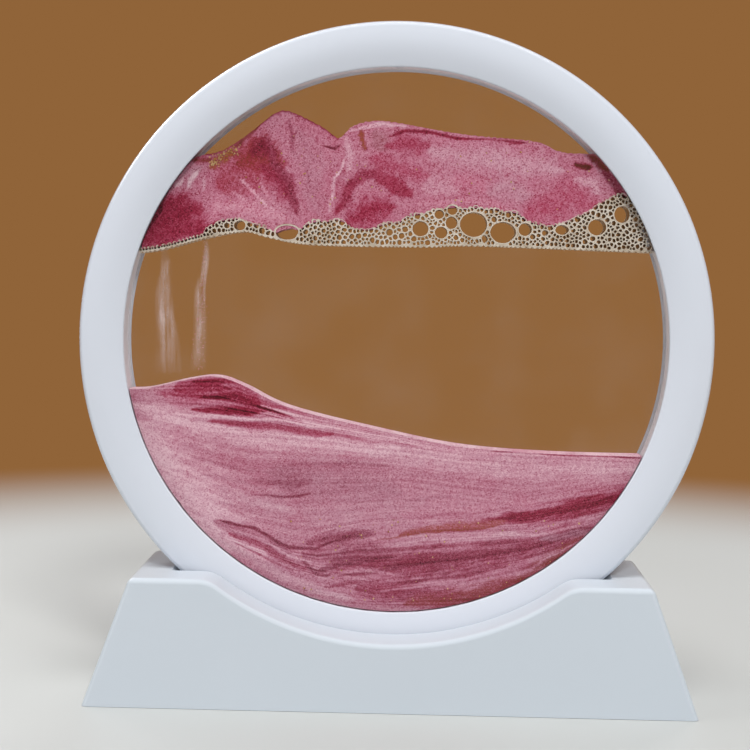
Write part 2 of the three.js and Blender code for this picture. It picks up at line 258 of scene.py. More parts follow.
class Wire:
    """An output socket that can be used in sums, products and comparisons."""

    def __init__(self, board, socket):
        self.board = board
        self.socket = socket

    def math(self, operation, *values, clamp=False):
        settings = {"operation": operation, "use_clamp": clamp}
        return self.board.node("ShaderNodeMath", settings, dict(enumerate(values)))

    def __add__(self, other):
        return self.math("ADD", self, other)

    def __sub__(self, other):
        return self.math("SUBTRACT", self, other)

    def __rsub__(self, other):
        return self.math("SUBTRACT", other, self)

    def __mul__(self, other):
        return self.math("MULTIPLY", self, other)

    def __gt__(self, other):
        return self.math("GREATER_THAN", self, other)

    def __lt__(self, other):
        return self.math("LESS_THAN", self, other)

    __radd__ = __add__
    __rmul__ = __mul__

    def limited(self):
        """The value held between 0 and 1."""
        return self.math("ADD", self, 0, clamp=True)


class NodeBoard:
    """A node tree whose nodes are all made by one method."""

    def __init__(self, owner):
        owner.use_nodes = True
        self.owner = owner
        self.tree = owner.node_tree
        self.tree.nodes.clear()

    def node(self, kind, settings=None, inputs=None, output=0):
        """Adds a node, sets it up, fills or links its inputs, and gives one of its outputs."""
        made = self.tree.nodes.new(kind)
        for name, value in (settings or {}).items():
            if name == "stops":
                set_stops(made.color_ramp, value)
            else:
                setattr(made, name, value)
        for name, value in (inputs or {}).items():
            socket = find_socket(made.inputs, name)
            if isinstance(value, Wire):
                self.tree.links.new(value.socket, socket)
            else:
                socket.default_value = value
        return Wire(self, find_socket(made.outputs, output)) if len(made.outputs) else None

    def mix(self, factor, low, high, blend="MIX"):
        settings = {"data_type": "RGBA", "blend_type": blend}
        inputs = {"Factor_Float": factor, "A_Color": low, "B_Color": high}
        return self.node("ShaderNodeMix", settings, inputs, "Result_Color")

    def noise(self, place, scale, detail=2.0, roughness=0.5):
        inputs = {"Vector": place, "Scale": scale, "Detail": detail, "Roughness": roughness}
        return self.node("ShaderNodeTexNoise", {}, inputs)

    def cells(self, place, scale, output):
        return self.node("ShaderNodeTexVoronoi", {}, {"Vector": place, "Scale": scale}, output)

    def channel(self, mixed, name):
        return self.node("ShaderNodeSeparateColor", {}, {0: mixed}, name)

    def attribute(self, name):
        return self.node("ShaderNodeAttribute", {"attribute_name": name}, {}, "Fac")

    def object_place(self):
        return self.node("ShaderNodeTexCoord", {}, {}, "Object")

    def bump(self, height, strength):
        inputs = {"Height": height, "Strength": strength, "Distance": SKIN_RELIEF}
        return self.node("ShaderNodeBump", {}, inputs)

    def surface(self, inputs):
        """Ends a finish with one shader, and gives its material."""
        shader = self.node("ShaderNodeBsdfPrincipled", {}, inputs)
        self.node("ShaderNodeOutputMaterial", {}, {"Surface": shader})
        return self.owner


def find_socket(sockets, key):
    """The socket with a number, an identifier or a name."""
    if isinstance(key, int):
        return sockets[key]
    return next(s for s in sockets if key in (s.identifier, s.name))


def set_stops(ramp, stops):
    while len(ramp.elements) < len(stops):
        ramp.elements.new(1.0)
    for element, (place, stop_colour) in zip(ramp.elements, stops):
        element.position = place
        element.color = stop_colour


def new_finish(name):
    return NodeBoard(bpy.data.materials.new(name))


def moulded_plastic(colours, name, tint, shade, gloss):
    """White plastic with faint flow marks, a soft orange peel and a few specks of dust."""
    board = new_finish(name)
    place = board.object_place()
    flow = board.noise(place, 16, 1)
    peel = board.noise(place, 420, 1)
    smudge = board.noise(place, 34, 2)
    base = board.mix(flow, tint, shade)
    near = board.cells(place, 70, "Distance")
    chance = board.channel(board.cells(place, 70, "Color"), "Red")
    speck = (near < 0.018) * (chance > 0.8)
    base = board.mix(speck * 0.55, base, colours.dust)
    return board.surface({
        "Base Color": base,
        "Roughness": 0.42 - 0.3 * gloss + smudge * 0.05,
        "Specular IOR Level": 0.25 + 0.25 * gloss,
        "Normal": board.bump(peel, 0.03),
    })


def cell_plastic(colours):
    """Satin plastic of the cell's wall, with fine lines from the extruder."""
    board = new_finish("cell_wall_plastic")
    place = board.object_place()
    stretched = board.node("ShaderNodeMapping", {}, {"Vector": place, "Scale": (40, 900, 40)})
    lines = board.noise(stretched, 1, 2)
    base = board.mix(lines * 0.5, colours.spacer, colours.spacer_shade)
    return board.surface({
        "Base Color": base,
        "Roughness": 0.32 + lines * 0.2,
        "Normal": board.bump(lines, 0.1),
    })


def soft_rubber(colours):
    """Matt white rubber with a fine pebbled skin."""
    board = new_finish("soft_white_rubber")
    place = board.object_place()
    pebble = board.noise(place, 1500, 2)
    cloud = board.noise(place, 90, 3)
    base = board.mix(cloud, colours.rubber, colours.rubber_shade)
    return board.surface({
        "Base Color": base,
        "Roughness": 0.7 + pebble * 0.2,
        "Normal": board.bump(pebble, 0.3),
    })


def pane_glass(colours):
    """Clear thin glass: it shines by its angle to the eye and lets other light straight through."""
    board = new_finish("clear_pane_glass")
    shine = board.node("ShaderNodeFresnel", {}, {"IOR": 1.45})
    smudge = board.noise(board.object_place(), 45, 5, 0.62)
    haze = (smudge - 0.56).limited() * 0.03
    return board.surface({
        "Base Color": colours.glass,
        "Metallic": 1.0,
        "Roughness": 0.03 + haze,
        "Alpha": (shine * 0.3 + haze).limited(),
    })


def still_water(colours):
    """Water between the panes, with the faintest cloud of dust in it."""
    board = new_finish("still_water")
    cloud = board.noise(board.object_place(), 40, 4)
    return board.surface({
        "Base Color": board.mix(cloud, colours.water, colours.water_dust),
        "Roughness": 0.3,
        "Alpha": 0.006 + (cloud - 0.45).limited() * 0.10,
    })


WARM_STOPS = (
    (0.00, srgb(240, 198, 208)),
    (0.15, srgb(226, 172, 188)),
    (0.30, srgb(212, 142, 162)),
    (0.45, srgb(198, 112, 138)),
    (0.60, srgb(178, 72, 100)),
    (0.75, srgb(154, 36, 66)),
    (0.90, srgb(124, 21, 45)),
    (1.00, srgb(78, 14, 28)),
)
MAUVE_STOPS = (
    (0.00, srgb(232, 198, 206)),
    (0.15, srgb(214, 170, 183)),
    (0.30, srgb(198, 146, 162)),
    (0.45, srgb(180, 122, 140)),
    (0.60, srgb(154, 90, 110)),
    (0.75, srgb(126, 60, 80)),
    (0.90, srgb(94, 38, 54)),
    (1.00, srgb(60, 22, 34)),
)


def coloured_sand(colours, name, streaks, specks):
    """Fine sand: painted tones, thin beds, cloudy mixing, and single dark and pale grains."""
    board = new_finish(name)
    place = board.object_place()
    across = board.node("ShaderNodeSeparateXYZ", {}, {"Vector": place}, "X")
    strata = board.attribute("strata") + board.noise(place, 45, 2) * 0.1
    streak = board.attribute("streak") * streaks
    beds = board.node("ShaderNodeCombineXYZ", {}, {"X": across * 12, "Y": strata * 13})
    bed = (board.noise(beds, 1, 5, 0.62) - 0.5) * 2.2
    cloud = board.noise(place, 150, 4, 0.6) - 0.5
    grain_colour = board.cells(place, 3000, "Color")
    grain = board.channel(grain_colour, "Red")
    chance = board.channel(grain_colour, "Green")
    round_grain = board.cells(place, 3000, "Distance")
    tone = board.attribute("tone") + bed * 0.5 * streak + cloud * 0.18 + (grain - 0.5) * 0.2
    tone = tone + (chance > 0.84) * (1.3 - tone) * specks - (chance < 0.06) * 0.1
    warm = board.node("ShaderNodeValToRGB", {"stops": WARM_STOPS}, {"Fac": tone}, "Color")
    mauve = board.node("ShaderNodeValToRGB", {"stops": MAUVE_STOPS}, {"Fac": tone}, "Color")
    base = board.mix((board.attribute("blush") + cloud * 0.5).limited(), mauve, warm)
    rusty = board.attribute("rust") * (0.35 + grain)
    base = board.mix(rusty.limited(), base, colours.rust)
    return board.surface({
        "Base Color": base,
        "Roughness": 0.72 + grain * 0.25,
        "Normal": board.bump(round_grain, 0.2),
    })


def bubble_foam(colours, name, tint, shade):
    """Wet cream walls between bubbles, with painted shade where they turn away from the glass."""
    board = new_finish(name)
    place = board.object_place()
    cloud = board.noise(place, 240, 3)
    normal = board.node("ShaderNodeTexCoord", {}, {}, "Normal")
    outwards = board.node("ShaderNodeSeparateXYZ", {}, {"Vector": normal}, "Y")
    facing = outwards.math("ABSOLUTE", outwards)
    fine = board.cells(place, 1900, "Distance")
    base = board.mix(((cloud - 0.3) * 2.5).limited(), shade, tint)
    # Painted shade: walls that turn away from the glass take the darker side colour
    base = board.mix(facing, colours.foam_side_shade, base)
    return board.surface({
        "Base Color": base,
        "Roughness": 0.18 + fine * 0.3,
        "Normal": board.bump(fine, 0.25),
    })


def drifting_sand(colours):
    """A thin veil of fine sand, denser in its middle and broken into wisps."""
    board = new_finish("drifting_sand")
    place = board.object_place()
    stretched = board.node("ShaderNodeMapping", {}, {"Vector": place, "Scale": (900, 900, 90)})
    wisps = board.noise(stretched, 1, 4, 0.6)
    puffs = board.noise(place, 180, 3)
    grain = board.noise(place, 2600, 1)
    veil = board.attribute("veil") * ((wisps - 0.3) * 2.2).limited() * (0.25 + puffs) * (0.5 + grain)
    base = board.mix(grain, colours.stream, colours.stream_shade)
    return board.surface({"Base Color": base, "Roughness": 0.9, "Alpha": veil.limited()})


def gold_flakes(colours):
    """Gold glitter, brighter and paler from flake to flake."""
    board = new_finish("gold_glitter_flakes")
    chance = board.channel(board.cells(board.object_place(), 900, "Color"), "Red")
    base = board.mix(chance, colours.gold, colours.gold_pale)
    return board.surface({"Base Color": base, "Metallic": 0.5, "Roughness": 0.22 + chance * 0.2})


def mesh_piece(name, points, faces, smooth_angle=SMOOTH_ANGLE, values=None):
    """A mesh object that is smooth up to an angle, with named values at its points."""
    mesh = bpy.data.meshes.new(name)
    mesh.from_pydata([tuple(p) for p in points], [], [tuple(f) for f in faces])
    for label, numbers in (values or {}).items():
        mesh.attributes.new(label, "FLOAT", "POINT").data.foreach_set("value", numbers)
    mesh.shade_smooth()
    mesh.set_sharp_from_angle(angle=smooth_angle)
    piece = bpy.data.objects.new(name, mesh)
    bpy.context.scene.collection.objects.link(piece)
    return piece


def tidy_mesh(piece):
    """Merges points that coincide and turns all faces outwards."""
    work = bmesh.new()
    work.from_mesh(piece.data)
    bmesh.ops.remove_doubles(work, verts=work.verts, dist=SAME_PLACE)
    bmesh.ops.recalc_face_normals(work, faces=work.faces)
    work.to_mesh(piece.data)
    work.free()
    piece.data.set_sharp_from_angle(angle=SMOOTH_ANGLE)


def even_normals(piece):
    """Keeps broad flat faces flat beside their rounded edges."""
    modifier = piece.modifiers.new("even_normals", "WEIGHTED_NORMAL")
    modifier.keep_sharp = True
    return piece


def carry(piece, material, slot, node):
    """Gives a piece its finish, and puts it on the body of a node."""
    piece.data.materials.append(material)
    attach(piece, frame["nodes"][node]["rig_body"])


def dress(piece, material, slot, node):
    """Carries a piece on the body of a node, and has it stand for that node."""
    carry(piece, material, slot, node)
    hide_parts(node)


def grid_faces(rows, columns, start=0, close_rows=False, close_columns=False):
    """Four-sided faces over rows of points; a closed way also joins its last line to its first."""
    faces = []
    for i in range(rows if close_rows else rows - 1):
        here, there = start + i * columns, start + (i + 1) % rows * columns
        for j in range(columns if close_columns else columns - 1):
            k = (j + 1) % columns
            faces.append((here + j, there + j, there + k, here + k))
    return faces


def thickened(faces, far):
    """Makes a sheet of faces a solid: backs on the points that come far later, and walls at open edges."""
    edges = {(a, b) for face in faces for a, b in zip(face, (*face[1:], face[0]))}
    backs = [tuple(corner + far for corner in reversed(face)) for face in faces]
    walls = sorted((a, a + far, b + far, b) for a, b in edges if (b, a) not in edges)
    return [*faces, *backs, *walls]


def arc(centre, radius, start, end, steps):
    """Points on a round from one angle to another, in degrees, both ends included."""
    angles = np.radians(np.linspace(start, end, steps + 1))
    return [(centre[0] + radius * math.cos(a), centre[1] + radius * math.sin(a)) for a in angles]


def turned(name, section, steps, closed=True):
    """A section of radius and depth turned about the ring's axis."""
    points = []
    for turn in np.linspace(0, 2 * math.pi, steps, endpoint=False):
        sine, cosine = math.sin(turn), math.cos(turn)
        points += [(radius * sine, depth, RING_CENTRE + radius * cosine) for radius, depth in section]
    piece = mesh_piece(name, points, grid_faces(steps, len(section), close_rows=True, close_columns=closed))
    tidy_mesh(piece)
    return piece


def ring_half_section(ring, aperture, seam_line):
    """Half of the ring's section, drawn for the rear: seam, rounded edge, bowed face, lip and pocket."""
    face = ring.half_thickness
    crest = ring.radius - ring.crest
    shoulder = ring.radius - ring.edge_width
    skin = []
    for x, y in arc((0, 0), 1, 0, 90, 16):
        skin.append((shoulder + ring.edge_width * x, face - ring.rise + ring.edge_depth * (y - 1)))
    for share in np.linspace(0, 1, 7)[1:]:
        skin.append((shoulder + (crest - shoulder) * share, face - ring.rise * (1 - share) ** 2))
    tilt = math.atan(ring.fall_power * ring.fall / (crest - aperture - ring.aperture_edge))
    edge_end = 160
    edge_centre = (
        aperture - ring.aperture_edge * math.cos(math.radians(edge_end)),
        face - ring.fall - ring.aperture_edge * math.cos(tilt),
    )
    edge = arc(edge_centre, ring.aperture_edge, 90 + math.degrees(tilt), edge_end, 8)
    reach = crest - edge[0][0]
    for share in np.linspace(0, 1, 9)[1:-1]:
        skin.append((crest - reach * share, face - ring.fall * share**ring.fall_power))
    lip_back = face - ring.lip
    pocket = [(aperture, lip_back), (ring.pocket, lip_back), (ring.pocket, ring.seam / 2)]
    return [*seam_line, *skin, *edge, *pocket]


def ring_halves(ring):
    """The front half has a tongue at its seam, and the rear half a rebate that the tongue enters."""
    inside = ring.radius - ring.wall
    seam = ring.seam / 2
    rim = [(ring.radius - ring.seam, seam), (ring.radius, seam + ring.seam)]
    tongue_end = inside + ring.tongue
    tongue = [(inside, seam), (inside, -ring.tongue), (tongue_end, -ring.tongue), (tongue_end, seam), *rim]
    low, high = inside - ring.seam, tongue_end + ring.seam
    rebate_depth = ring.tongue + ring.seam
    rebate = [(low, seam), (low, rebate_depth), (high, rebate_depth), (high, seam), *rim]
    front = ring_half_section(ring, ring.front_aperture, tongue)
    rear = ring_half_section(ring, ring.rear_aperture, rebate)
    return [(radius, -depth) for radius, depth in front], rear


# Least rounding of an edge of the stand, and rounding of the edges in its hollow
LEAST_EDGE = 0.1 * MM
HOLLOW_EDGE = 0.4 * MM


class StandShell(NamedTuple):
    """One skin of the stand: the outside, or the hollow inside it."""

    end: float
    height: float
    half_depth: float
    edge: float
    lip_edge: float
    saddle: float
    shoulder: float
    groove: float
    groove_half: float
    lean: float

    def top(self, x):
        """Height of the lands, shoulders and saddle at a place across the width."""
        drop = RING_CENTRE - self.height + self.shoulder
        place = math.sqrt((self.saddle + self.shoulder) ** 2 - drop**2)
        if abs(x) >= place:
            return self.height
        if abs(x) >= place * self.saddle / (self.saddle + self.shoulder):
            return self.height - self.shoulder + math.sqrt(self.shoulder**2 - (abs(x) - place) ** 2)
        return RING_CENTRE - math.sqrt(self.saddle**2 - x * x)

    def floor(self, x):
        """Height of the groove's floor, which runs out into the lands."""
        return min(self.top(x), RING_CENTRE - math.sqrt(max(self.groove**2 - x * x, 0)))

    def run_out(self):
        """Where the floor of the groove meets the lands."""
        return math.sqrt(self.groove**2 - (RING_CENTRE - self.height) ** 2)

    def section(self, x, inset, foot=0.0):
        """Depth and height round the stand from the front foot to the rear foot."""
        top = self.top(x) - inset
        floor = min(self.floor(x), top)
        face = self.half_depth - inset
        edge = max(self.edge - inset, LEAST_EDGE)
        share = min(1.0, (top - floor) / (2 * self.lip_edge))
        half = [(-face, foot)]
        half += arc((edge - face, top - edge), edge, 180, 90, 6)
        for depth, height in arc((-self.groove_half - self.lip_edge, 0), self.lip_edge, 90, 0, 5):
            half.append((depth, top - share * (self.lip_edge - height)))
        half.append((-self.groove_half + self.lip_edge / 2, floor))
        return half + [(-depth, height) for depth, height in reversed(half)]

    def stations(self):
        """Places across the width, each with its lean and its inset at the rounded ends."""
        run_out = self.run_out()
        middle = np.linspace(0, run_out, 66)
        flank = np.linspace(run_out, self.end - self.edge, 8)[1:]
        half = [(x, 0.0, 0.0) for x in middle]
        half += [(x, (x - run_out) / (self.end - self.edge - run_out), 0.0) for x in flank]
        for turn in np.radians(np.linspace(0, 90, 6)[1:]):
            inset = self.edge * (1 - math.cos(turn))
            half.append((self.end - self.edge * (1 - math.sin(turn)), 1.0, inset))
        left = [(-x, lean, inset) for x, lean, inset in reversed(half[1:])]
        return left + half

    def points(self):
        """Points round each station, from end to end."""
        grid = []
        for x, lean, inset in self.stations():
            side = math.copysign(self.lean * lean, x)
            grid.append([(x + side * (self.height - z), y, z) for y, z in self.section(x, inset)])
        return grid


def stand_skins(stand):
    """The outside of the stand and the hollow inside it."""
    lean = (stand.half_width - stand.top_half_width) / stand.height
    wall = stand.wall
    end_wall = wall * math.hypot(1, lean)
    outside = StandShell(
        stand.top_half_width, stand.height, stand.half_depth, stand.edge_radius, stand.lip_edge,
        stand.saddle, stand.shoulder, stand.groove, stand.groove_half, lean,
    )
    inside = StandShell(
        stand.top_half_width - end_wall + lean * wall, stand.height - wall, stand.half_depth - wall,
        HOLLOW_EDGE, HOLLOW_EDGE, stand.saddle + wall, stand.shoulder - wall, stand.groove + wall,
        stand.groove_half + wall, lean,
    )
    return outside, inside


def stand_mesh(stand):
    """Both skins of the stand, joined by a rim at the foot, with two cross ribs in the hollow."""
    points, faces, starts = [], [], []
    skins = stand_skins(stand)
    for skin in skins:
        grid = skin.points()
        start, count = len(points), len(grid[0])
        starts.append(start)
        points += [place for station in grid for place in station]
        faces += grid_faces(len(grid), count, start)
        # Each end is a strip between the front half and the rear half of its section
        for end in (start, start + (len(grid) - 1) * count):
            for j in range(count // 2 - 1):
                faces.append((end + j, end + j + 1, end + count - 2 - j, end + count - 1 - j))
    front_foot = [station * count for station in range(len(grid))]
    foot = front_foot + [corner + count - 1 for corner in reversed(front_foot)]
    outer, inner = starts
    for a, b in zip(foot, foot[1:] + foot[:1]):
        faces.append((outer + a, outer + b, inner + b, inner + a))
    for place in (-stand.rib_place, stand.rib_place):
        section = skins[1].section(place, -stand.wall / 2, stand.rib_foot)
        faces += thickened([tuple(range(len(points), len(points) + len(section)))], len(section))
        for side in (-stand.rib_half, stand.rib_half):
            points += [(place + side, y, z) for y, z in section]
    return points, faces


# Points this near to the front of a node lie on its front face
FRONT_FACE_DEPTH = 0.1 * MM


def front_outline(node, places):
    """Lowest and highest point of a node's front face at each place across the width."""
    mesh = frame["nodes"][node].data
    points = np.array([v.co for v in mesh.vertices])
    on_front = points[:, 1] < points[:, 1].min() + FRONT_FACE_DEPTH
    edges = np.array([e.vertices[:] for e in mesh.edges])
    edges = edges[on_front[edges].all(axis=1)]
    low = np.full(len(places), np.inf)
    high = np.full(len(places), -np.inf)
    for a, b in points[edges][:, :, (0, 2)]:
        left, right = (a, b) if a[0] < b[0] else (b, a)
        across = right[0] - left[0]
        if across < SAME_PLACE:
            continue
        held = (places >= left[0]) & (places <= right[0])
        height = left[1] + (places[held] - left[0]) / across * (right[1] - left[1])
        low[held] = np.minimum(low[held], height)
        high[held] = np.maximum(high[held], height)
    return low, high


def softened(values, window):
    """Values with their small corners rounded off, both ends kept."""
    reach = max(window // 2, 1)
    padded = np.concatenate([np.full(reach, values[0]), values, np.full(reach, values[-1])])
    return np.convolve(padded, np.ones(2 * reach + 1) / (2 * reach + 1), mode="valid")


class Layer(NamedTuple):
    """The space of one mass of filling: places across the width with its lowest and highest points."""

    places: np.ndarray
    low: np.ndarray
    high: np.ndarray

    def edges_at(self, places):
        """Lowest and highest points at other places across the width."""
        return (np.interp(places, self.places, edge) for edge in (self.low, self.high))

    def grid(self, rows):
        """Places across and heights of points all over the layer, column by column."""
        share = np.linspace(0, 1, rows)
        heights = self.low[:, None] + (self.high - self.low)[:, None] * share
        return np.repeat(self.places, rows), heights.ravel()


# Length over which a layer's corners are rounded off, its least height, and a step in from a node's ends
CORNER_ROUNDING = 1.6 * MM
LEAST_HEIGHT = 0.02 * MM
JUST_INSIDE = 0.001 * MM


def layer_of(filling, node, spread=0.0, sides=0.0, column=None):
    """The space of a node, taken out to the middle of its gaps but not past the round of the cell."""
    box_low, box_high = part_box(node)
    left, right = box_low.x - sides, box_high.x + sides
    column = column or filling.column
    places = np.linspace(left, right, max(int((right - left) / column), 2))
    low, high = front_outline(node, np.clip(places, box_low.x + JUST_INSIDE, box_high.x - JUST_INSIDE))
    places = np.clip(places, -filling.radius, filling.radius)
    wall = np.sqrt(np.maximum(filling.radius**2 - places**2, 0))
    window = int(CORNER_ROUNDING / column)
    low = np.maximum(softened(low, window) - spread, RING_CENTRE - wall)
    high = np.minimum(softened(high, window) + spread, RING_CENTRE + wall)
    return Layer(places, low, np.maximum(high, low + LEAST_HEIGHT))


def slab_mesh(layer, rows, front, back):
    """Points and faces of a slab that fills a layer; front and back are depths at each point."""
    x, z = layer.grid(rows)
    points = np.concatenate([np.column_stack([x, np.broadcast_to(y, x.shape), z]) for y in (front, back)])
    return points, thickened(grid_faces(len(layer.places), rows), x.size)


class Stroke(NamedTuple):
    """A band of sand along a line of places, in millimetres from the ring's centre as seen from the front.

    The width is from the middle of the band to its edge. Tone goes from 0, pale, to 1, dark. Blush goes from
    0, mauve, to 1, red. Rust is the share of brown and gold grains. Swell widens the band towards its end.
    """

    line: tuple
    width: float
    tone: float
    blush: float = 0.6
    rust: float = 0.0
    strength: float = 0.9
    swell: float = 0.0


# Bands of the dune, broad ones first and thin lines last
DUNE_STROKES = (
    Stroke(((-76, -24), (-63, -38), (-50, -53), (-37, -63)), 13.0, 0.08, 0.7, strength=1.0),
    Stroke(((-76, -18.5), (-57, -24.4), (-38, -27.4), (-18, -29.4), (2, -31)), 4.6, 0.08, 0.6),
    Stroke(((-35, -38), (-18, -40), (2, -42.6)), 9.0, 0.42, 0.2, strength=0.8),
    Stroke(((-26, -50), (-9, -48.4), (7, -46.8)), 6.8, 0.30, 0.35, strength=0.7),
    Stroke(((-6, -31.4), (24, -33.8), (47, -34.6), (72, -34)), 6.4, 0.15, 0.45),
    Stroke(((2, -49.4), (16, -48), (30, -47), (41, -44.5)), 5.2, 0.35, 0.65, strength=0.8),
    Stroke(((22, -51.5), (41, -48.6), (54, -45.8), (72, -41)), 3.6, 0.84, 0.85, strength=0.95, swell=0.6),
    Stroke(((2, -54.7), (16, -52.3), (32, -50.7)), 1.6, 0.58, 0.7, rust=0.45),
    Stroke(((-17, -63), (8, -62.8), (25, -61), (41, -57.6), (58, -51.5)), 6.4, 0.72, 0.55, strength=0.95),
    Stroke(((-10, -70.6), (4, -72), (20, -71.5)), 4.2, 0.70, 0.6),
    Stroke(((4, -75), (22, -72.5), (38, -67)), 4.0, 0.71, 0.65, rust=0.3, strength=0.95),
    Stroke(((36, -67), (47, -60.6), (58, -52.5)), 2.5, 0.68, 0.5, rust=0.35, strength=0.8),
    Stroke(((-26, -61.6), (-15, -61.5), (-6, -59.6), (2, -59.2)), 3.4, 0.60, 0.35, strength=0.8),
    Stroke(((-66, -15.6), (-54, -15.4), (-42, -17), (-24, -22.5)), 5.2, 0.60, 0.9),
    Stroke(((-63, -14.6), (-53, -13.2), (-45, -14.6), (-38, -18)), 5.0, 0.74, 0.95, strength=0.95),
    Stroke(((-58, -12.4), (-51, -11.4), (-45, -12.4)), 1.2, 0.92, 0.95, strength=0.8),
    Stroke(((-55, -16.4), (-46, -16), (-39, -18), (-31, -21.6)), 1.0, 0.94, 0.95, strength=0.8),
    Stroke(((-58, -20), (-47, -20.6), (-35, -19.8)), 1.7, 0.92, 1.0, strength=0.95),
    Stroke(((-67, -15.1), (-58, -16.9), (-51, -17.4)), 0.9, 0.60, 0.8, strength=0.8),
    Stroke(((-53, -23.6), (-35, -24.5), (-17, -26.4)), 1.5, 0.66, 0.75, strength=0.95),
    Stroke(((-18, -26.3), (-8, -27.6), (4, -29)), 0.8, 0.52, 0.7, strength=0.8),
    Stroke(((1, -28.8), (18, -30.8)), 0.5, 0.60, 0.6, strength=0.8),
    Stroke(((-34, -19.4), (-20, -23.9), (-4, -27), (14, -29.8), (31, -31.4)), 1.5, 0.16, 0.6, strength=0.85),
    Stroke(((-68, -14.2), (-60, -15.8), (-46, -14.2), (-40, -15.6)), 0.35, 0.44, 0.8, strength=0.6),
    Stroke(((-70, -13), (-60, -12.4), (-52, -10.6)), 0.35, 0.4, 0.8, strength=0.6),
    Stroke(((-62, -17.6), (-50, -17.4), (-40, -18.8), (-28, -22.6)), 0.35, 0.4, 0.8, strength=0.7),
    Stroke(((-69, -14.8), (-55, -18.6), (-50, -18.8)), 0.4, 0.35, 0.8, strength=0.6),
    Stroke(((-63, -21.5), (-46, -22.4), (-30, -23), (-15, -24.8)), 0.6, 0.08, 0.6),
    Stroke(((-46, -26.6), (-27, -27.5), (2, -30.5)), 0.9, 0.05, 0.5),
    Stroke(((-38, -18), (-27, -22.1), (-12, -25.9)), 0.5, 0.15, 0.6, strength=0.8),
    Stroke(((-58, -33.5), (-49, -35.7), (-37, -37.5), (-26, -38)), 0.7, 0.46, 0.3, strength=0.6),
    Stroke(((-41, -39.5), (-32, -40.5), (-23, -39.8)), 2.0, 0.58, 0.25, strength=0.8),
    Stroke(((-40, -44.3), (-32, -44.5), (-23, -42.9)), 0.5, 0.74, 0.3),
    Stroke(((-27, -35.1), (-12, -34.3), (-1, -35)), 0.9, 0.52, 0.25, strength=0.7),
    Stroke(((-55, -39.2), (-43, -40.4), (-37, -43)), 0.7, 0.44, 0.3, strength=0.6),
    Stroke(((-50, -46.1), (-43, -48.3), (-37, -50.5)), 0.8, 0.42, 0.3, strength=0.6),
    Stroke(((1, -37.5), (13, -37.9), (24, -36.7)), 0.6, 0.40, 0.4, strength=0.6),
    Stroke(((-18, -45.7), (2, -45), (19, -43)), 0.7, 0.44, 0.3, strength=0.6),
    Stroke(((7, -49.6), (22, -48.5), (36, -46.4)), 0.7, 0.54, 0.6, strength=0.6),
    Stroke(((-50, -42.5), (-39, -46.5), (-28, -50)), 4.2, 0.2, 0.35, strength=0.8),
    Stroke(((-51, -52), (-40, -55.8), (-29, -61)), 2.4, 0.5, 0.35, strength=0.8),
    Stroke(((-25, -58), (-15, -56), (-5, -54.6)), 2.6, 0.66, 0.35, strength=0.8),
    Stroke(
        ((-49, -51.8), (-40, -53.9), (-29, -59.1), (-22, -59.6), (-14, -55.8), (-9, -55.2)),
        0.7, 0.78, 0.35,
    ),
    Stroke(((-47, -55), (-37, -58.8), (-28, -64), (-23, -65.5)), 1.4, 0.64, 0.65),
    Stroke(((-45, -57.6), (-37, -62), (-29, -65.3), (-22, -66.6)), 0.5, 0.60, 0.6, strength=0.8),
    Stroke(((-26, -62.7), (-21.6, -66.3), (-13, -63.4), (2, -61.2)), 1.1, 0.72, 0.35),
    Stroke(((-22, -67), (-9, -66.7), (2, -64.3), (13, -62.2)), 0.8, 0.74, 0.4, strength=0.8),
    Stroke(((-47, -53.4), (-37, -57.2), (-29, -61.4), (-23, -63.5)), 0.5, 0.18, 0.5, strength=0.8),
    Stroke(((-50, -57), (-40, -62.6), (-29, -68.6), (-18, -72), (-10, -74)), 1.9, 0.2, 0.35),
    Stroke(((-19, -67.7), (-9, -65.3), (2, -66.6)), 0.6, 0.28, 0.4, strength=0.7),
    Stroke(((-20, -70), (-9, -69), (2, -68.8), (16, -67)), 0.9, 0.64, 0.5, strength=0.8),
    Stroke(((-4, -56), (10, -53.8), (20, -52.8), (32, -51.5)), 0.5, 0.72, 0.5, rust=0.5, strength=0.8),
    Stroke(
        ((-4, -58), (10, -56.2), (32, -54.2), (40, -53.9), (48, -52.7), (62, -49)),
        0.7, 0.2, 0.45, strength=0.85,
    ),
    Stroke(((-4, -71.2), (16, -69), (32, -66.2), (42, -62.6), (54, -55.4)), 0.55, 0.32, 0.45, strength=0.75),
    Stroke(((42, -54.7), (48, -54.4), (57, -52.3)), 1.7, 0.40, 0.0, strength=0.8),
    Stroke(((8, -60), (25, -58.7), (39, -57)), 0.5, 0.42, 0.5, strength=0.7),
    Stroke(((13, -65.3), (30, -62.2), (44, -58.4)), 0.5, 0.40, 0.5, strength=0.7),
    Stroke(((2, -68.8), (19, -66.3), (33, -63.3)), 1.1, 0.76, 0.5, strength=0.8),
    Stroke(((30, -70), (42, -65.2), (51, -59)), 1.1, 0.74, 0.5, rust=0.3, strength=0.8),
    # Painted: a pale band along the ring's edge at the lower left stands for the ring's wall seen through
    # the edge of the glass
    Stroke(((-69, -41), (-57, -56), (-43, -67), (-26, -73.5), (-12, -76)), 1.7, 0.26, 0.2, strength=0.85),
    Stroke(((28, -30.5), (46, -31.1), (71, -31.6)), 0.4, 0.84, 0.8),
)

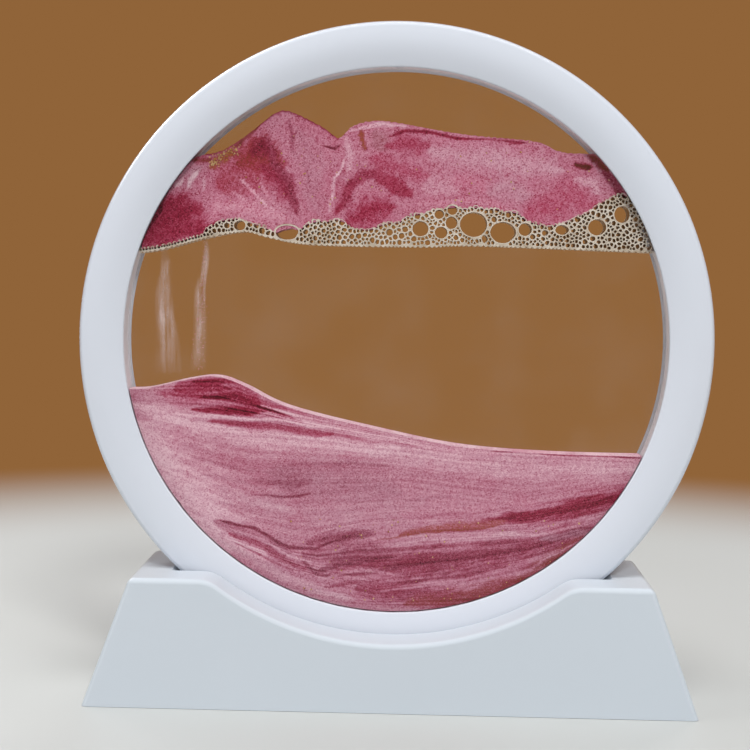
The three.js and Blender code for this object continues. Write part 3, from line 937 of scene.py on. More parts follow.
# Bands of the sand that the bubbles hold up
HELD_STROKES = (
    Stroke(((-74, 26), (-67, 33), (-58, 36)), 7.2, 0.78, 0.95, strength=1.0),
    Stroke(((-67, 38), (-61, 39), (-56, 35.5)), 3.6, 0.78, 0.95, strength=0.97),
    Stroke(((-72, 28), (-61, 31), (-50, 32)), 5.2, 0.76, 1.0, strength=1.0),
    Stroke(((-53, 33), (-52, 37), (-49, 42)), 3.2, 0.34, 0.9, strength=0.95),
    Stroke(((-50, 44), (-42, 49), (-32, 50)), 9.5, 0.64, 1.0, rust=0.12),
    Stroke(((-46, 49), (-39, 53), (-33, 50)), 6.0, 0.80, 0.95, rust=0.3),
    Stroke(((-42, 53), (-38, 54.6), (-34, 52.5)), 3.2, 0.86, 0.8),
    Stroke(((-38, 50), (-32.5, 44), (-29.5, 40)), 3.4, 0.74, 0.9),
    Stroke(((-53, 37), (-43, 37.4), (-31, 34.5)), 4.2, 0.24, 1.0),
    Stroke(((-64, 44.5), (-60, 46.5), (-56, 49)), 2.4, 0.36, 0.2),
    Stroke(((-59, 42), (-58.2, 45), (-56.6, 48)), 1.1, 0.0, 0.15, strength=0.95),
    Stroke(((-62.5, 43), (-60.5, 44)), 0.8, 0.06, 0.2),
    Stroke(((-54.5, 42), (-54.2, 46.5)), 0.7, 0.06, 0.3, strength=0.7),
    Stroke(((-73, 27), (-67, 37), (-64, 42.5)), 1.0, 0.97, 0.6),
    Stroke(((-58.5, 51), (-52.5, 51)), 0.8, 0.85, 0.6, rust=0.3),
    Stroke(((-47, 54), (-44, 56.8), (-39, 59.6)), 1.2, 0.86, 0.5, rust=0.3),
    Stroke(((-53, 48.6), (-50, 50.8), (-46.5, 53.6)), 2.4, 0.72, 0.6, rust=0.9),
    Stroke(((-44.5, 45), (-39.7, 41), (-34, 36.6)), 0.6, 0.08, 0.9),
    Stroke(((-47, 43), (-43, 39.5)), 0.5, 0.10, 0.9, strength=0.7),
    Stroke(((-40, 45), (-36, 41), (-31.5, 37)), 0.5, 0.14, 0.9, strength=0.7),
    Stroke(((-29, 60), (-25, 52), (-23.5, 42), (-22.8, 35)), 5.4, 0.40, 0.4),
    Stroke(((-37, 57), (-34.4, 50.8), (-32, 46), (-29.6, 41.4), (-28.2, 35.5)), 1.5, 0.72, 0.6),
    Stroke(((-31, 62.5), (-30.3, 58), (-29.6, 53)), 0.7, 0.64, 0.4),
    Stroke(((-27, 50), (-25.5, 43)), 0.5, 0.52, 0.3, strength=0.6),
    Stroke(((-20.5, 54.2), (-18, 53.8), (-16.6, 55)), 0.4, 0.88, 0.3),
    Stroke(((-15, 57.5), (-13.6, 53), (-15, 48)), 2.2, 0.2, 0.6, strength=0.8),
    Stroke(((-7, 60), (-5, 57), (-5, 53)), 3.0, 0.48, 0.25, rust=0.15, strength=0.8),
    Stroke(((-10, 60), (-9.4, 56.7), (-8.8, 53.5)), 1.0, 0.76, 0.5, rust=0.7),
    Stroke(((-15.4, 50.5), (-16, 46), (-17, 41)), 0.8, 0.55, 0.7, strength=0.7),
    Stroke(((-16.3, 52), (-16.6, 48), (-17.7, 43), (-18.8, 38.4), (-19.3, 35)), 0.5, 0.05, 0.5),
    Stroke(((-14, 33), (-8.5, 36.8), (-1, 38)), 6.0, 0.70, 1.0, strength=1.0),
    Stroke(((-13.8, 37.2), (-9.8, 42), (-5.3, 43), (-0.8, 40.6)), 0.9, 0.44, 0.85),
    Stroke(
        ((-17.3, 35), (-15.4, 40), (-13.6, 43.2), (-10.1, 46.8), (-5, 47), (-1, 45.5), (4, 41)),
        2.1, 0.76, 0.85,
    ),
    Stroke(((-4, 55), (1.5, 56.5), (9, 54.5)), 3.4, 0.64, 0.95),
    Stroke(((-8, 51), (0, 48.5), (9, 47)), 4.6, 0.56, 0.95),
    Stroke(((-5, 46.5), (0, 43.4), (4, 41)), 2.4, 0.68, 0.95),
    Stroke(
        ((-3.6, 58.2), (0, 59.2), (3.2, 59.5), (9, 59), (15, 58.3), (23, 57.2)),
        0.8, 0.84, 0.85, strength=0.95,
    ),
    Stroke(((22, 57.4), (30, 57), (37, 56.6)), 0.9, 0.74, 0.7),
    Stroke(((-15, 59.6), (-5.3, 61.5), (3, 60.8)), 0.6, 0.08, 0.6),
    Stroke(((9, 53.4), (17, 52.3), (24.4, 52), (35.4, 50.4), (46, 49)), 5.2, 0.24, 0.4),
    Stroke(((6, 43), (12, 44.6), (18, 43.4)), 3.4, 0.22, 0.6, strength=0.7),
    Stroke(((15, 46.5), (22.8, 45.5), (24, 43)), 2.8, 0.36, 0.9, strength=0.8),
    Stroke(((25, 42.7), (31.3, 43.6), (37, 41)), 4.0, 0.32, 0.3, strength=0.8),
    Stroke(((6, 38.5), (20, 40.5), (34, 37.5)), 1.6, 0.30, 0.85, strength=0.7),
    Stroke(((36, 36), (44, 40), (49, 41.4), (56, 39)), 6.4, 0.54, 1.0, strength=1.0),
    Stroke(((41, 36.5), (48, 38.5)), 2.0, 0.54, 1.0),
    Stroke(((49, 46.3), (54, 46.4), (56, 43)), 2.0, 0.14, 0.6, strength=0.8),
    Stroke(((48.6, 51.4), (51.5, 50.8), (54.6, 50.4)), 1.2, 1.0, 0.4, rust=0.2, strength=1.0),
    Stroke(((53.5, 53.4), (56.6, 52), (59.5, 48.6)), 1.7, 0.94, 0.5, rust=0.4, strength=0.95),
    Stroke(((57.5, 49), (61.5, 44.8), (63, 42)), 1.8, 0.70, 0.8),
    Stroke(((61, 42), (66, 37), (71, 30.5)), 2.2, 0.78, 0.9, strength=0.85),
    Stroke(((66, 38.6), (67.8, 36.4), (69, 34.4)), 1.2, 0.97, 0.5, strength=0.95),
)

# Heights of the dune's main beds from the top down, as places across the width and heights in millimetres
BED_GUIDES = (
    ((-76, -12), (-58, -10), (-50, -9.5), (-30, -18), (-4, -24), (20, -28.5), (76, -30)),
    ((-76, -20), (-52, -23.6), (-35, -24.5), (2, -29), (20, -31), (76, -33)),
    ((-76, -30), (-40, -44.3), (-23, -43), (2, -41), (36, -45), (76, -38)),
    ((-76, -40), (-49, -51.8), (-29, -59.1), (-21, -60), (-9, -57), (10, -55), (40, -52.8), (76, -43)),
    ((-76, -50), (-37, -62), (-21, -67.5), (-4, -71.2), (16, -69), (42, -62.6), (76, -49)),
    ((-76, -76), (76, -76)),
)

# How clearly the thin beds show, by the number of main beds above
STREAK_BY_BED = ((0, 1.3), (0.9, 1.1), (1.3, 0.55), (2.5, 0.5), (3.0, 0.85), (5, 0.85))

# Large bubbles as across, up, half width and half height in millimetres from the ring's centre
LARGE_BUBBLES = (
    (-30.9, 30.6, 3.5, 2.1),
    (-44.4, 32.4, 1.8, 1.5),
    (6.6, 32.2, 2.4, 2.3),
    (12.4, 31.2, 1.9, 1.8),
    (15.3, 34.0, 1.8, 1.9),
    (15.5, 37.5, 1.6, 1.4),
    (11.8, 36.3, 1.5, 1.4),
    (21.5, 33.6, 4.0, 3.6),
    (29.8, 31.5, 3.8, 3.1),
    (36.0, 32.4, 2.0, 1.9),
    (-2.1, 31.1, 1.1, 1.1),
    (46.3, 32.4, 2.2, 1.5),
    (56.1, 33.3, 2.7, 2.4),
    (62.9, 37.0, 2.3, 2.5),
    (54.9, 30.1, 0.9, 0.8),
)


class SandLook(NamedTuple):
    """How a mass of sand is coloured: strokes, ground, how they waver, and its upper rim in millimetres."""

    strokes: tuple
    base: tuple
    waver: float
    rim: float
    rim_tone: float
    bedded: bool


def distance_to_line(line, x, z):
    """Distance of each place from a line, and the share of the line's length at its nearest point."""
    corners = np.array(line, float)
    steps = np.hypot(*np.diff(corners, axis=0).T)
    whole = steps.sum()
    best = np.full(x.shape, np.inf)
    share = np.zeros(x.shape)
    passed = 0.0
    for (start_x, start_z), (end_x, end_z), step in zip(corners[:-1], corners[1:], steps):
        across, up = (end_x - start_x) / step, (end_z - start_z) / step
        along = np.clip((x - start_x) * across + (z - start_z) * up, 0, step)
        distance = np.hypot(x - start_x - along * across, z - start_z - along * up)
        nearer = distance < best
        best[nearer] = distance[nearer]
        share[nearer] = (passed + along[nearer]) / whole
        passed += step
    return best, share


def ripple(x, z, wavelength, seed, waves=7):
    """A smooth random field between about -1 and 1."""
    draw = np.random.default_rng(seed)
    total = np.zeros(x.shape)
    for _ in range(waves):
        turn, phase = draw.uniform(0, 2 * math.pi, 2)
        pace = 2 * math.pi / (wavelength * draw.uniform(0.7, 1.6))
        total += np.sin(pace * (x * math.cos(turn) + z * math.sin(turn)) + phase)
    return total / math.sqrt(waves)


def painted(strokes, x, z, base, feather, waver, seed):
    """Tone, blush and rust at each place once all strokes are laid on; x and z are in millimetres."""
    paint = np.tile(np.array(base, float)[:, None], (1, x.size))
    x = x + waver * ripple(x, z, 9, seed)
    z = z + waver * ripple(x, z, 11, seed + 1)
    for stroke in strokes:
        distance, share = distance_to_line(stroke.line, x, z)
        # A stroke narrows towards both ends, and a thin one has a crisper edge than a broad one
        width = stroke.width * (0.15 + 0.85 * np.sqrt(4 * share * (1 - share)))
        width *= 1 + stroke.swell * (2 * share - 1)
        crisp = np.interp(stroke.width, (1.5, 4), (1.6, 1.15))
        cover = stroke.strength * np.clip(crisp * (1 - distance / width + 0.22 * feather), 0, 1)
        cover[distance > 1.6 * width] = 0
        goal = np.array((stroke.tone, stroke.blush, stroke.rust))[:, None]
        paint += (goal - paint) * cover
    return paint


def bed_depth(x, z):
    """How many main beds lie above each place, as a number that grows evenly from bed to bed."""
    heights = [np.interp(x, *np.array(guide, float).T) for guide in BED_GUIDES]
    pairs = zip(heights[:-1], heights[1:])
    return sum(np.clip((above - z) / (above - below), 0, 1) for above, below in pairs)


def sand_piece(filling, name, layer, look):
    """A mass of sand against the glass, with its painted tones held at its points."""
    rows = max(int((layer.high - layer.low).max() / filling.row), 4)
    x, z = layer.grid(rows)
    x, z = x / MM, (z - RING_CENTRE) / MM
    strata = bed_depth(x, z)
    # Edges are feathered along the beds, or in all directions alike
    along, across = (x / 16, strata * 5) if look.bedded else (x / 3, z / 3)
    feather = 0.7 * ripple(along, across, 1, filling.seed + 3)
    feather += 0.5 * ripple(along, across, 0.4, filling.seed + 4)
    tone, blush, rust = painted(look.strokes, x, z, look.base, feather, look.waver, filling.seed)
    # Near its top edge a mass takes its rim tone: on the dune this is a painted highlight, pale where its
    # top catches the light
    below_top = (np.repeat(layer.high, rows) - RING_CENTRE) / MM - z
    if look.rim:
        tone += (look.rim_tone - tone) * np.clip(1 - below_top / look.rim, 0, 1)
    front = -filling.half_depth + filling.relief * tone
    points, faces = slab_mesh(layer, rows, front, -front)
    # Thin beds fade towards the left, the deeper ones sooner
    streak = np.interp(strata, *np.array(STREAK_BY_BED).T)
    streak *= np.interp(x - 8 * strata, (-76, -50), (0.45, 1))
    values = {"tone": tone, "blush": blush, "rust": rust, "strata": strata, "streak": streak}
    values = {label: np.tile(numbers, 2).astype(np.float32) for label, numbers in values.items()}
    return mesh_piece(name, points, faces, SAND_SMOOTH_ANGLE, values)


def foam_layer(filling):
    """The space of the foam, which is only a thin fringe under the crimson block."""
    layer = layer_of(filling, "bubble_layer", filling.layer_gap / 2)
    block_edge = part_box("upper_sand_left")[1].x
    heaped = layer.high + filling.heap * ripple(layer.places / MM, layer.low / MM, 5, filling.seed + 7)
    thin = np.minimum(layer.high, layer.low + filling.fringe)
    return layer._replace(high=np.where(layer.places < block_edge, thin, np.maximum(heaped, thin)))


# Radius of the smaller bubbles in millimetres, from large to small, and how many places are tried for each
SMALL_BUBBLES = ((0.9, 120), (0.66, 900), (0.5, 4000), (0.38, 9000), (0.28, 9000))

# Least distance of two bubbles before they swell, as a share of their two radii
BUBBLES_APART = 1.02

# How far a small bubble swells if no neighbour stops it, and how near a neighbour is, in half widths
SMALL_BUBBLE_SWELL = 1.45
NEIGHBOUR_REACH = 2.2


def packed_bubbles(filling, layer):
    """Large bubbles at their places, then ever smaller ones in the room that is left."""
    draw = np.random.default_rng(filling.seed)
    bubbles = [(x * MM, RING_CENTRE + z * MM, wide * MM, tall * MM) for x, z, wide, tall in LARGE_BUBBLES]
    for size, tries in SMALL_BUBBLES:
        # Sizes vary by about an eighth, and a bubble may stand out at the top by less than half its radius
        radii_tried = size * MM * draw.uniform(0.88, 1.12, tries)
        across = draw.uniform(layer.places[0], layer.places[-1], tries)
        low, high = layer.edges_at(across)
        up = low + (high - low) * draw.uniform(0, 1, tries)
        fits = (up > low + radii_tried + filling.web) & (up < high - 0.6 * radii_tried)
        for x, z, radius in zip(across[fits], up[fits], radii_tried[fits]):
            held = np.array(bubbles)
            gap = np.hypot(*((held[:, :2] - (x, z)) / (held[:, 2:] + radius)).T)
            if (gap > BUBBLES_APART).all():
                bubbles.append((x, z, radius, radius))
    return bubbles


def oval_radius(wide, tall, ways):
    """Radius of an oval in each of several directions."""
    return wide * tall / np.hypot(ways[:, 0] * tall, ways[:, 1] * wide)


def borders_near(table, number, web):
    """Directions from one bubble to its neighbours, and how far off the webs between them begin."""
    x, z, wide, tall = table[number]
    away = np.delete(table[:, :2] - (x, z), number, axis=0)
    others = np.delete(table[:, 2:], number, axis=0)
    distance = np.hypot(*away.T)
    near = distance < NEIGHBOUR_REACH * wide + others.max(axis=1)
    away, others, distance = away[near], others[near], distance[near]
    heading = away / distance[:, None]
    own_size = oval_radius(wide, tall, heading)
    their_size = oval_radius(*others.T, heading)
    return heading, (distance**2 + own_size**2 - their_size**2) / (2 * distance) - web / 2


def bubble_rounds(filling, layer, bubbles):
    """The outline of every bubble, pressed flat where a thin web parts it from its neighbours."""
    table = np.array(bubbles)
    rounds = []
    for number, (x, z, wide, tall) in enumerate(bubbles):
        large = number < len(LARGE_BUBBLES)
        heading, border = borders_near(table, number, filling.web)
        # The larger a bubble, the more corners
        count = int(np.clip(10 + wide / MM * 8, 12, 40))
        angles = np.linspace(0, 2 * math.pi, count, endpoint=False)
        ways = np.column_stack([np.cos(angles), np.sin(angles)])
        facing = np.maximum(ways @ heading.T, 1e-3)
        own = oval_radius(wide, tall, ways) * (1.0 if large else SMALL_BUBBLE_SWELL)
        reach = np.minimum(own, (border / facing).min(axis=1, initial=1.0))
        evened = (np.roll(reach, 1) + reach + np.roll(reach, -1)) / 3
        outline = (x, z) + ways * np.minimum(reach, evened)[:, None]
        if not large:
            low, high = layer.edges_at(outline[:, 0])
            outline[:, 1] = np.clip(outline[:, 1], low + filling.web / 2, high + filling.web)
        rounds.append(outline)
    return rounds


# Spacing of the points along the edge of the foam, and its least height
BEAD_STEP = 0.2 * MM
LEAST_FOAM = 0.4 * MM

# How far foam, its rims and the glitter stand out from the sand towards the glass
FOAM_STANDS_OUT = 0.1 * MM
RIMS_STAND_OUT = 0.05 * MM
GLITTER_STANDS_OUT = 0.08 * MM


def foam_outline(layer, bubbles, web):
    """The edge of the foam: beaded by small bubbles, and pushed out by large ones."""
    left, right = layer.places[0], layer.places[-1]
    x = np.linspace(left, right, int((right - left) / BEAD_STEP))
    # Beads are a little over a millimetre long, and uneven
    bead = np.abs(np.sin(x / MM * 2.5 + 1.5 * np.sin(x / MM * 0.43)))
    low, high = layer.edges_at(x)
    low = low - 2.2 * web * bead
    high = high + 2.6 * web * (bead - 0.3)
    wall = 1.5 * web
    for across, up, wide, tall in bubbles[: len(LARGE_BUBBLES)]:
        round_share = np.sqrt(np.clip(1 - ((x - across) / (wide + wall)) ** 2, 0, None))
        touched = round_share > 0
        edge = (tall + wall) * round_share
        low[touched] = np.minimum(low, up - edge)[touched]
        high[touched] = np.maximum(high, up + edge)[touched]
    high = np.maximum(high, low + LEAST_FOAM)
    return list(zip(x, low)) + list(zip(x[::-1], high[::-1]))


def foam_mesh(filling, layer, bubbles, rounds):
    """A plate as deep as the cell, pierced by every bubble."""
    outline = foam_outline(layer, bubbles, filling.web)
    corners, edges = [], []
    for loop in (outline, *rounds):
        start = len(corners)
        corners += [Vector(corner) / MM for corner in loop]
        edges += [(start + i, start + (i + 1) % len(loop)) for i in range(len(loop))]
    flat, _, triangles, *_ = delaunay_2d_cdt(corners, edges, [], 1, 1e-5)
    flat = np.array(flat) * MM
    triangles = np.array([t for t in triangles if len(t) == 3])
    middle = flat[triangles].mean(axis=1)
    edge_x, low = np.array(outline[: len(outline) // 2]).T
    high = np.array(outline[len(outline) // 2:])[::-1, 1]
    out = middle[:, 1] < np.interp(middle[:, 0], edge_x, low)
    out |= middle[:, 1] > np.interp(middle[:, 0], edge_x, high)
    for bubble, loop in zip(bubbles, rounds):
        across, up = (loop - bubble[:2]).T
        reach = np.hypot(across, up)
        near = np.flatnonzero(np.abs(middle - bubble[:2]).max(axis=1) < reach.max())
        away = middle[near] - bubble[:2]
        limit = np.interp(np.arctan2(*away.T[::-1]), np.arctan2(up, across), reach, period=2 * math.pi)
        out[near[np.hypot(*away.T) < limit]] = True
    depth = filling.half_depth + FOAM_STANDS_OUT
    points = np.concatenate([np.insert(flat, 1, y, axis=1) for y in (-depth, depth)])
    return points, thickened(triangles[~out].tolist(), len(flat))


RIM_RADIUS = 0.1 * MM
RIM_SIDES = 6
LEAST_BUBBLE_WITH_RIM = 0.45 * MM


def rim_mesh(bubbles, rounds, depth):
    """A raised round lip at both panes for each of the larger bubbles."""
    points, faces = [], []
    # In this direction of turning, the faces look outwards
    turns = np.linspace(0, -2 * math.pi, RIM_SIDES, endpoint=False)
    for (middle_x, middle_z, *sizes), outline in zip(bubbles, rounds):
        if min(sizes) < LEAST_BUBBLE_WITH_RIM:
            continue
        for face_depth in (-depth, depth):
            faces += grid_faces(len(outline), len(turns), len(points), True, True)
            for x, z in outline:
                out = Vector((x - middle_x, 0, z - middle_z)).normalized()
                for turn in turns:
                    shift = RIM_RADIUS * math.cos(turn)
                    y = face_depth + RIM_RADIUS * math.sin(turn)
                    points.append((x + out.x * shift, y, z + out.z * shift))
    return points, faces


def ribbon_mesh(line, widths, depth, rows=60, columns=9):
    """An upright veil along a line in millimetres from the ring's centre, and its density at each point."""
    corners = np.array(line, float)
    share = np.linspace(0, 1, rows)
    places = np.linspace(0, 1, len(corners))
    x = np.interp(share, places, corners[:, 0]) + 0.4 * np.sin(share * 9)
    z = np.interp(share, places, corners[:, 1])
    half = np.interp(share, (0, 1), widths)
    side = np.linspace(-1, 1, columns)
    points = [
        ((x[i] + half[i] * s) * MM, depth, RING_CENTRE + z[i] * MM) for i in range(rows) for s in side
    ]
    # The veil is dense in its middle, and thin at its sides, its top and its foot
    along = np.sin(math.pi * np.clip(share * 0.93 + 0.05, 0, 1)) ** 0.7
    veil = np.outer(along, (1 - side**2) ** 1.2).ravel()
    faces = [face[::-1] for face in grid_faces(rows, columns)]
    return points, faces, veil.astype(np.float32)


def grain_mesh(places, sizes):
    """An eight-sided grain at each place."""
    points, faces = [], []
    corners = ((1, 0, 0), (0, 1, 0), (-1, 0, 0), (0, -1, 0), (0, 0, 1), (0, 0, -1))
    for place, size in zip(places, sizes):
        start = len(points)
        points += [tuple(p + size * c for p, c in zip(place, corner)) for corner in corners]
        for i in range(4):
            j = (i + 1) % 4
            faces += [(start + i, start + j, start + 4), (start + j, start + i, start + 5)]
    return points, faces


FLAKE_SIDES = 6
FLAKE_HALF_THICKNESS = 0.02 * MM


def flake_mesh(draw, places):
    """A thin flake at each place, tilted at random."""
    points, faces = [], []
    turns = np.linspace(0, 2 * math.pi, FLAKE_SIDES, endpoint=False)
    for place in places:
        faces += thickened([tuple(range(len(points), len(points) + FLAKE_SIDES))], FLAKE_SIDES)
        radius = draw.uniform(0.12, 0.3) * MM
        lean = Matrix.Rotation(draw.uniform(-0.7, 0.7), 3, "X")
        tilt = lean @ Matrix.Rotation(draw.uniform(-0.7, 0.7), 3, "Z")
        for depth in (-FLAKE_HALF_THICKNESS, FLAKE_HALF_THICKNESS):
            for turn in turns:
                corner = Vector((radius * math.cos(turn), depth, radius * math.sin(turn)))
                points.append(Vector(place) + tilt @ corner)
    return points, faces


def settings_of(context):
    return context.scene.sand_frame


class SANDFRAME_OT_stand(bpy.types.Operator):
    """Makes the hollow white stand with its curved groove."""

    bl_idname = "sand_frame.stand"
    bl_label = "Stand"

    def execute(self, context):
        settings = settings_of(context)
        piece = mesh_piece("moulded_stand", *stand_mesh(settings.stand))
        tidy_mesh(piece)
        colours = settings.colours
        satin = moulded_plastic(
            colours, "satin_white_plastic", colours.stand, colours.stand_shade, gloss=0.35
        )
        dress(even_normals(piece), satin, "white_plastic", "stand_shell")
        return {"FINISHED"}


class SANDFRAME_OT_ring(bpy.types.Operator):
    """Makes the two halves of the white ring."""

    bl_idname = "sand_frame.ring"
    bl_label = "Ring halves"

    def execute(self, context):
        settings = settings_of(context)
        colours = settings.colours
        plastic = moulded_plastic(
            colours, "glossy_white_plastic", colours.plastic, colours.plastic_shade, gloss=1.0
        )
        for side, section in zip(("front", "rear"), ring_halves(settings.ring)):
            piece = even_normals(turned(f"{side}_ring_half", section, settings.ring.steps))
            dress(piece, plastic, "white_plastic", f"{side}_ring")
        return {"FINISHED"}


class SANDFRAME_OT_cell(bpy.types.Operator):
    """Makes the glass panes and finishes the wall, seals, cushions and plug of the cell."""

    bl_idname = "sand_frame.cell"
    bl_label = "Glass cell"

    def execute(self, context):
        settings = settings_of(context)
        glass = pane_glass(settings.colours)
        ground = 0.25 * MM
        for side in ("front", "rear"):
            low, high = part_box(f"{side}_pane")
            radius = high.x
            section = [
                (0, low.y), (radius - ground, low.y), (radius, low.y + ground),
                (radius, high.y - ground), (radius - ground, high.y), (0, high.y),
            ]
            piece = even_normals(turned(f"{side}_glass", section, settings.ring.steps, closed=False))
            dress(piece, glass, "clear_glass", f"{side}_pane")
        rubber = soft_rubber(settings.colours)
        finishes = {"spacer_ring": cell_plastic(settings.colours)}
        for node in ("front_seal", "rear_seal", "front_cushion", "rear_cushion", "fill_plug"):
            finishes[node] = rubber
        for node, material in finishes.items():
            for finish_slot in frame["nodes"][node].material_slots:
                finish_slot.material = material
        return {"FINISHED"}


class SANDFRAME_OT_water(bpy.types.Operator):
    """Makes the clear water above and below the bubbles."""

    bl_idname = "sand_frame.water"
    bl_label = "Water"

    def execute(self, context):
        settings = settings_of(context)
        filling = settings.filling
        water = still_water(settings.colours)
        for name, node in (("water_above", "upper_liquid"), ("water_below", "lower_liquid")):
            layer = layer_of(filling, node, column=3 * filling.column)
            points, faces = slab_mesh(layer, 8, -filling.half_depth, filling.half_depth)
            dress(mesh_piece(name, points, faces), water, "water", node)
        return {"FINISHED"}


# How uneven the top of the held sand is, and how far that sand reaches down into the foam
GRAIN_RELIEF = 0.12 * MM
FOAM_OVERLAP = 0.1 * MM


class SANDFRAME_OT_held_sand(bpy.types.Operator):
    """Makes the three masses of sand that the bubbles hold up."""

    bl_idname = "sand_frame.held_sand"
    bl_label = "Held sand"

    def execute(self, context):
        settings = settings_of(context)
        filling = settings.filling
        masses = (
            ("crimson_block", "upper_sand_left", "crimson_sand", 0.6),
            ("peaked_mound", "upper_sand_mound", "pink_sand", 0.8),
            ("long_ridge", "upper_sand_ridge", "pink_sand", 0.4),
        )
        foam = foam_layer(filling)
        for name, node, slot, rim_tone in masses:
            layer = layer_of(filling, node, filling.layer_gap / 2, filling.split_gap / 2)
            grains = GRAIN_RELIEF * ripple(layer.places / MM, layer.high / MM, 1.3, filling.seed + 6)
            foam_low, foam_high = foam.edges_at(layer.places)
            low = np.maximum(np.minimum(layer.low, foam_high - FOAM_OVERLAP), foam_low)
            layer = layer._replace(low=low, high=layer.high + grains)
            look = SandLook(
                strokes=HELD_STROKES, base=(0.41, 0.7, 0), waver=0.6,
                rim=0.7, rim_tone=rim_tone, bedded=False,
            )
            piece = sand_piece(filling, name, layer, look)
            dress(piece, coloured_sand(settings.colours, f"{name}_sand", 0.0, 0.23), slot, node)
        return {"FINISHED"}


class SANDFRAME_OT_dune(bpy.types.Operator):
    """Makes the dune: a pale drift on a darker bed."""

    bl_idname = "sand_frame.dune"
    bl_label = "Dune"

    def execute(self, context):
        settings = settings_of(context)
        filling = settings.filling
        # Each mass's name, node, slot and the depth of its pale top rim, which is a painted highlight
        masses = (
            ("dune_drift", "lower_sand_drift", "rose_sand", 0.35),
            ("dune_bed", "lower_sand_bed", "dark_sand", 0),
        )
        for name, node, slot, rim in masses:
            layer = layer_of(filling, node, filling.layer_gap / 2)
            look = SandLook(
                strokes=DUNE_STROKES, base=(0.36, 0.5, 0), waver=0.3,
                rim=rim, rim_tone=0.05, bedded=True,
            )
            piece = sand_piece(filling, name, layer, look)
            dress(piece, coloured_sand(settings.colours, f"{name}_sand", 1.0, 0.16), slot, node)
        return {"FINISHED"}


class SANDFRAME_OT_bubbles(bpy.types.Operator):
    """Makes the layer of bubbles under the held sand."""

    bl_idname = "sand_frame.bubbles"
    bl_label = "Bubbles"

    def execute(self, context):
        settings = settings_of(context)
        filling = settings.filling
        colours = settings.colours
        layer = foam_layer(filling)
        bubbles = packed_bubbles(filling, layer)
        rounds = bubble_rounds(filling, layer, bubbles)
        web = mesh_piece("bubble_walls", *foam_mesh(filling, layer, bubbles, rounds))
        cream = bubble_foam(colours, "bubble_foam", colours.foam, colours.foam_shade)
        dress(web, cream, "foam", "bubble_layer")
        rims = mesh_piece("bubble_rims", *rim_mesh(bubbles, rounds, filling.half_depth + RIMS_STAND_OUT))
        # The rims' paler colour is a painted highlight
        wet = bubble_foam(colours, "bubble_rims_painted_highlight", colours.foam_rim_highlight, colours.foam)
        carry(rims, wet, "foam", "bubble_layer")
        return {"FINISHED"}


class SANDFRAME_OT_stream(bpy.types.Operator):
    """Makes the thin streams of sand that sink through the water."""

    bl_idname = "sand_frame.stream"
    bl_label = "Sand stream"

    def execute(self, context):
        settings = settings_of(context)
        draw = np.random.default_rng(settings.filling.seed + 5)
        veil_finish = drifting_sand(settings.colours)
        # Each stream's line and half widths at top and foot in millimetres, and its depth in the cell
        lines = (
            ("main_stream", ((-54.2, 28.6), (-55.4, 14.4), (-56.6, -9)), (0.7, 2.6), -0.8 * MM),
            ("faint_stream", ((-66.6, 26.1), (-66.2, 13), (-65.4, -10)), (1.2, 4.2), 0.8 * MM),
        )
        for name, line, widths, depth in lines:
            points, faces, veil = ribbon_mesh(line, widths, depth)
            piece = mesh_piece(name, points, faces, values={"veil": veil})
            place_piece = dress if name == "main_stream" else carry
            place_piece(piece, veil_finish, "pink_sand", "sand_stream")
        # Grains sink along the main stream and spread out on their way
        share = draw.beta(1.2, 1.4, 420)
        x = -54.4 - 2.0 * share + draw.normal(0, 0.25 + 0.9 * share)
        z = 28 - 37 * share
        y = draw.uniform(-2.6, 2.6, share.size)
        places = np.column_stack([x * MM, y * MM, RING_CENTRE + z * MM])
        sizes = draw.uniform(0.05, 0.13, share.size) * MM
        points, faces = grain_mesh(places, sizes)
        look = {"tone": 0.25, "blush": 0.5, "rust": 0.0, "strata": 0.0, "streak": 0.0}
        values = {label: np.full(len(points), number, np.float32) for label, number in look.items()}
        grains = mesh_piece("sinking_grains", points, faces, values=values)
        grain_finish = coloured_sand(settings.colours, "sinking_grain_sand", 0.0, 0.2)
        carry(grains, grain_finish, "pink_sand", "sand_stream")
        return {"FINISHED"}


SAND_NODES = (
    "upper_sand_left", "upper_sand_mound", "upper_sand_ridge", "lower_sand_drift", "lower_sand_bed",
)

# How far flakes keep from the lower and the upper edge of the sand
LOWER_MARGIN = 0.3 * MM
UPPER_MARGIN = 0.1 * MM


def on_sand(x, z):
    """Whether a place seen from the front lies on one of the masses of sand."""
    for node in SAND_NODES:
        low, high = (edge[0] for edge in front_outline(node, np.array([x])))
        if low + LOWER_MARGIN < z < high - UPPER_MARGIN:
            return True
    return False


class SANDFRAME_OT_glitter(bpy.types.Operator):
    """Makes the gold flakes among the sand."""

    bl_idname = "sand_frame.glitter"
    bl_label = "Glitter"

    def execute(self, context):
        settings = settings_of(context)
        filling = settings.filling
        draw = np.random.default_rng(filling.seed + 9)
        # Flakes lie close together in one rusty patch, and far apart on the held sand and in the dune
        share = draw.uniform(0, 1, 110)
        patch = np.column_stack([
            -53 + 8.5 * share + draw.normal(0, 0.7, share.size),
            49.4 + 5.6 * share + draw.normal(0, 0.8, share.size),
        ])
        crest = np.column_stack([draw.uniform(-52, 60, 60), draw.uniform(38, 58, 60)])
        dune = np.column_stack([draw.uniform(-30, 55, 80), draw.uniform(-74, -50, 80)])
        held = [
            (x, z) for x, z in np.concatenate([patch, crest, dune])
            if on_sand(x * MM, RING_CENTRE + z * MM)
        ]
        depth = filling.half_depth + GLITTER_STANDS_OUT
        places = [(x * MM, -depth, RING_CENTRE + z * MM) for x, z in held]
        flakes = mesh_piece("glitter_flakes", *flake_mesh(draw, places))
        carry(flakes, gold_flakes(settings.colours), "pink_sand", "upper_sand_mound")
        return {"FINISHED"}


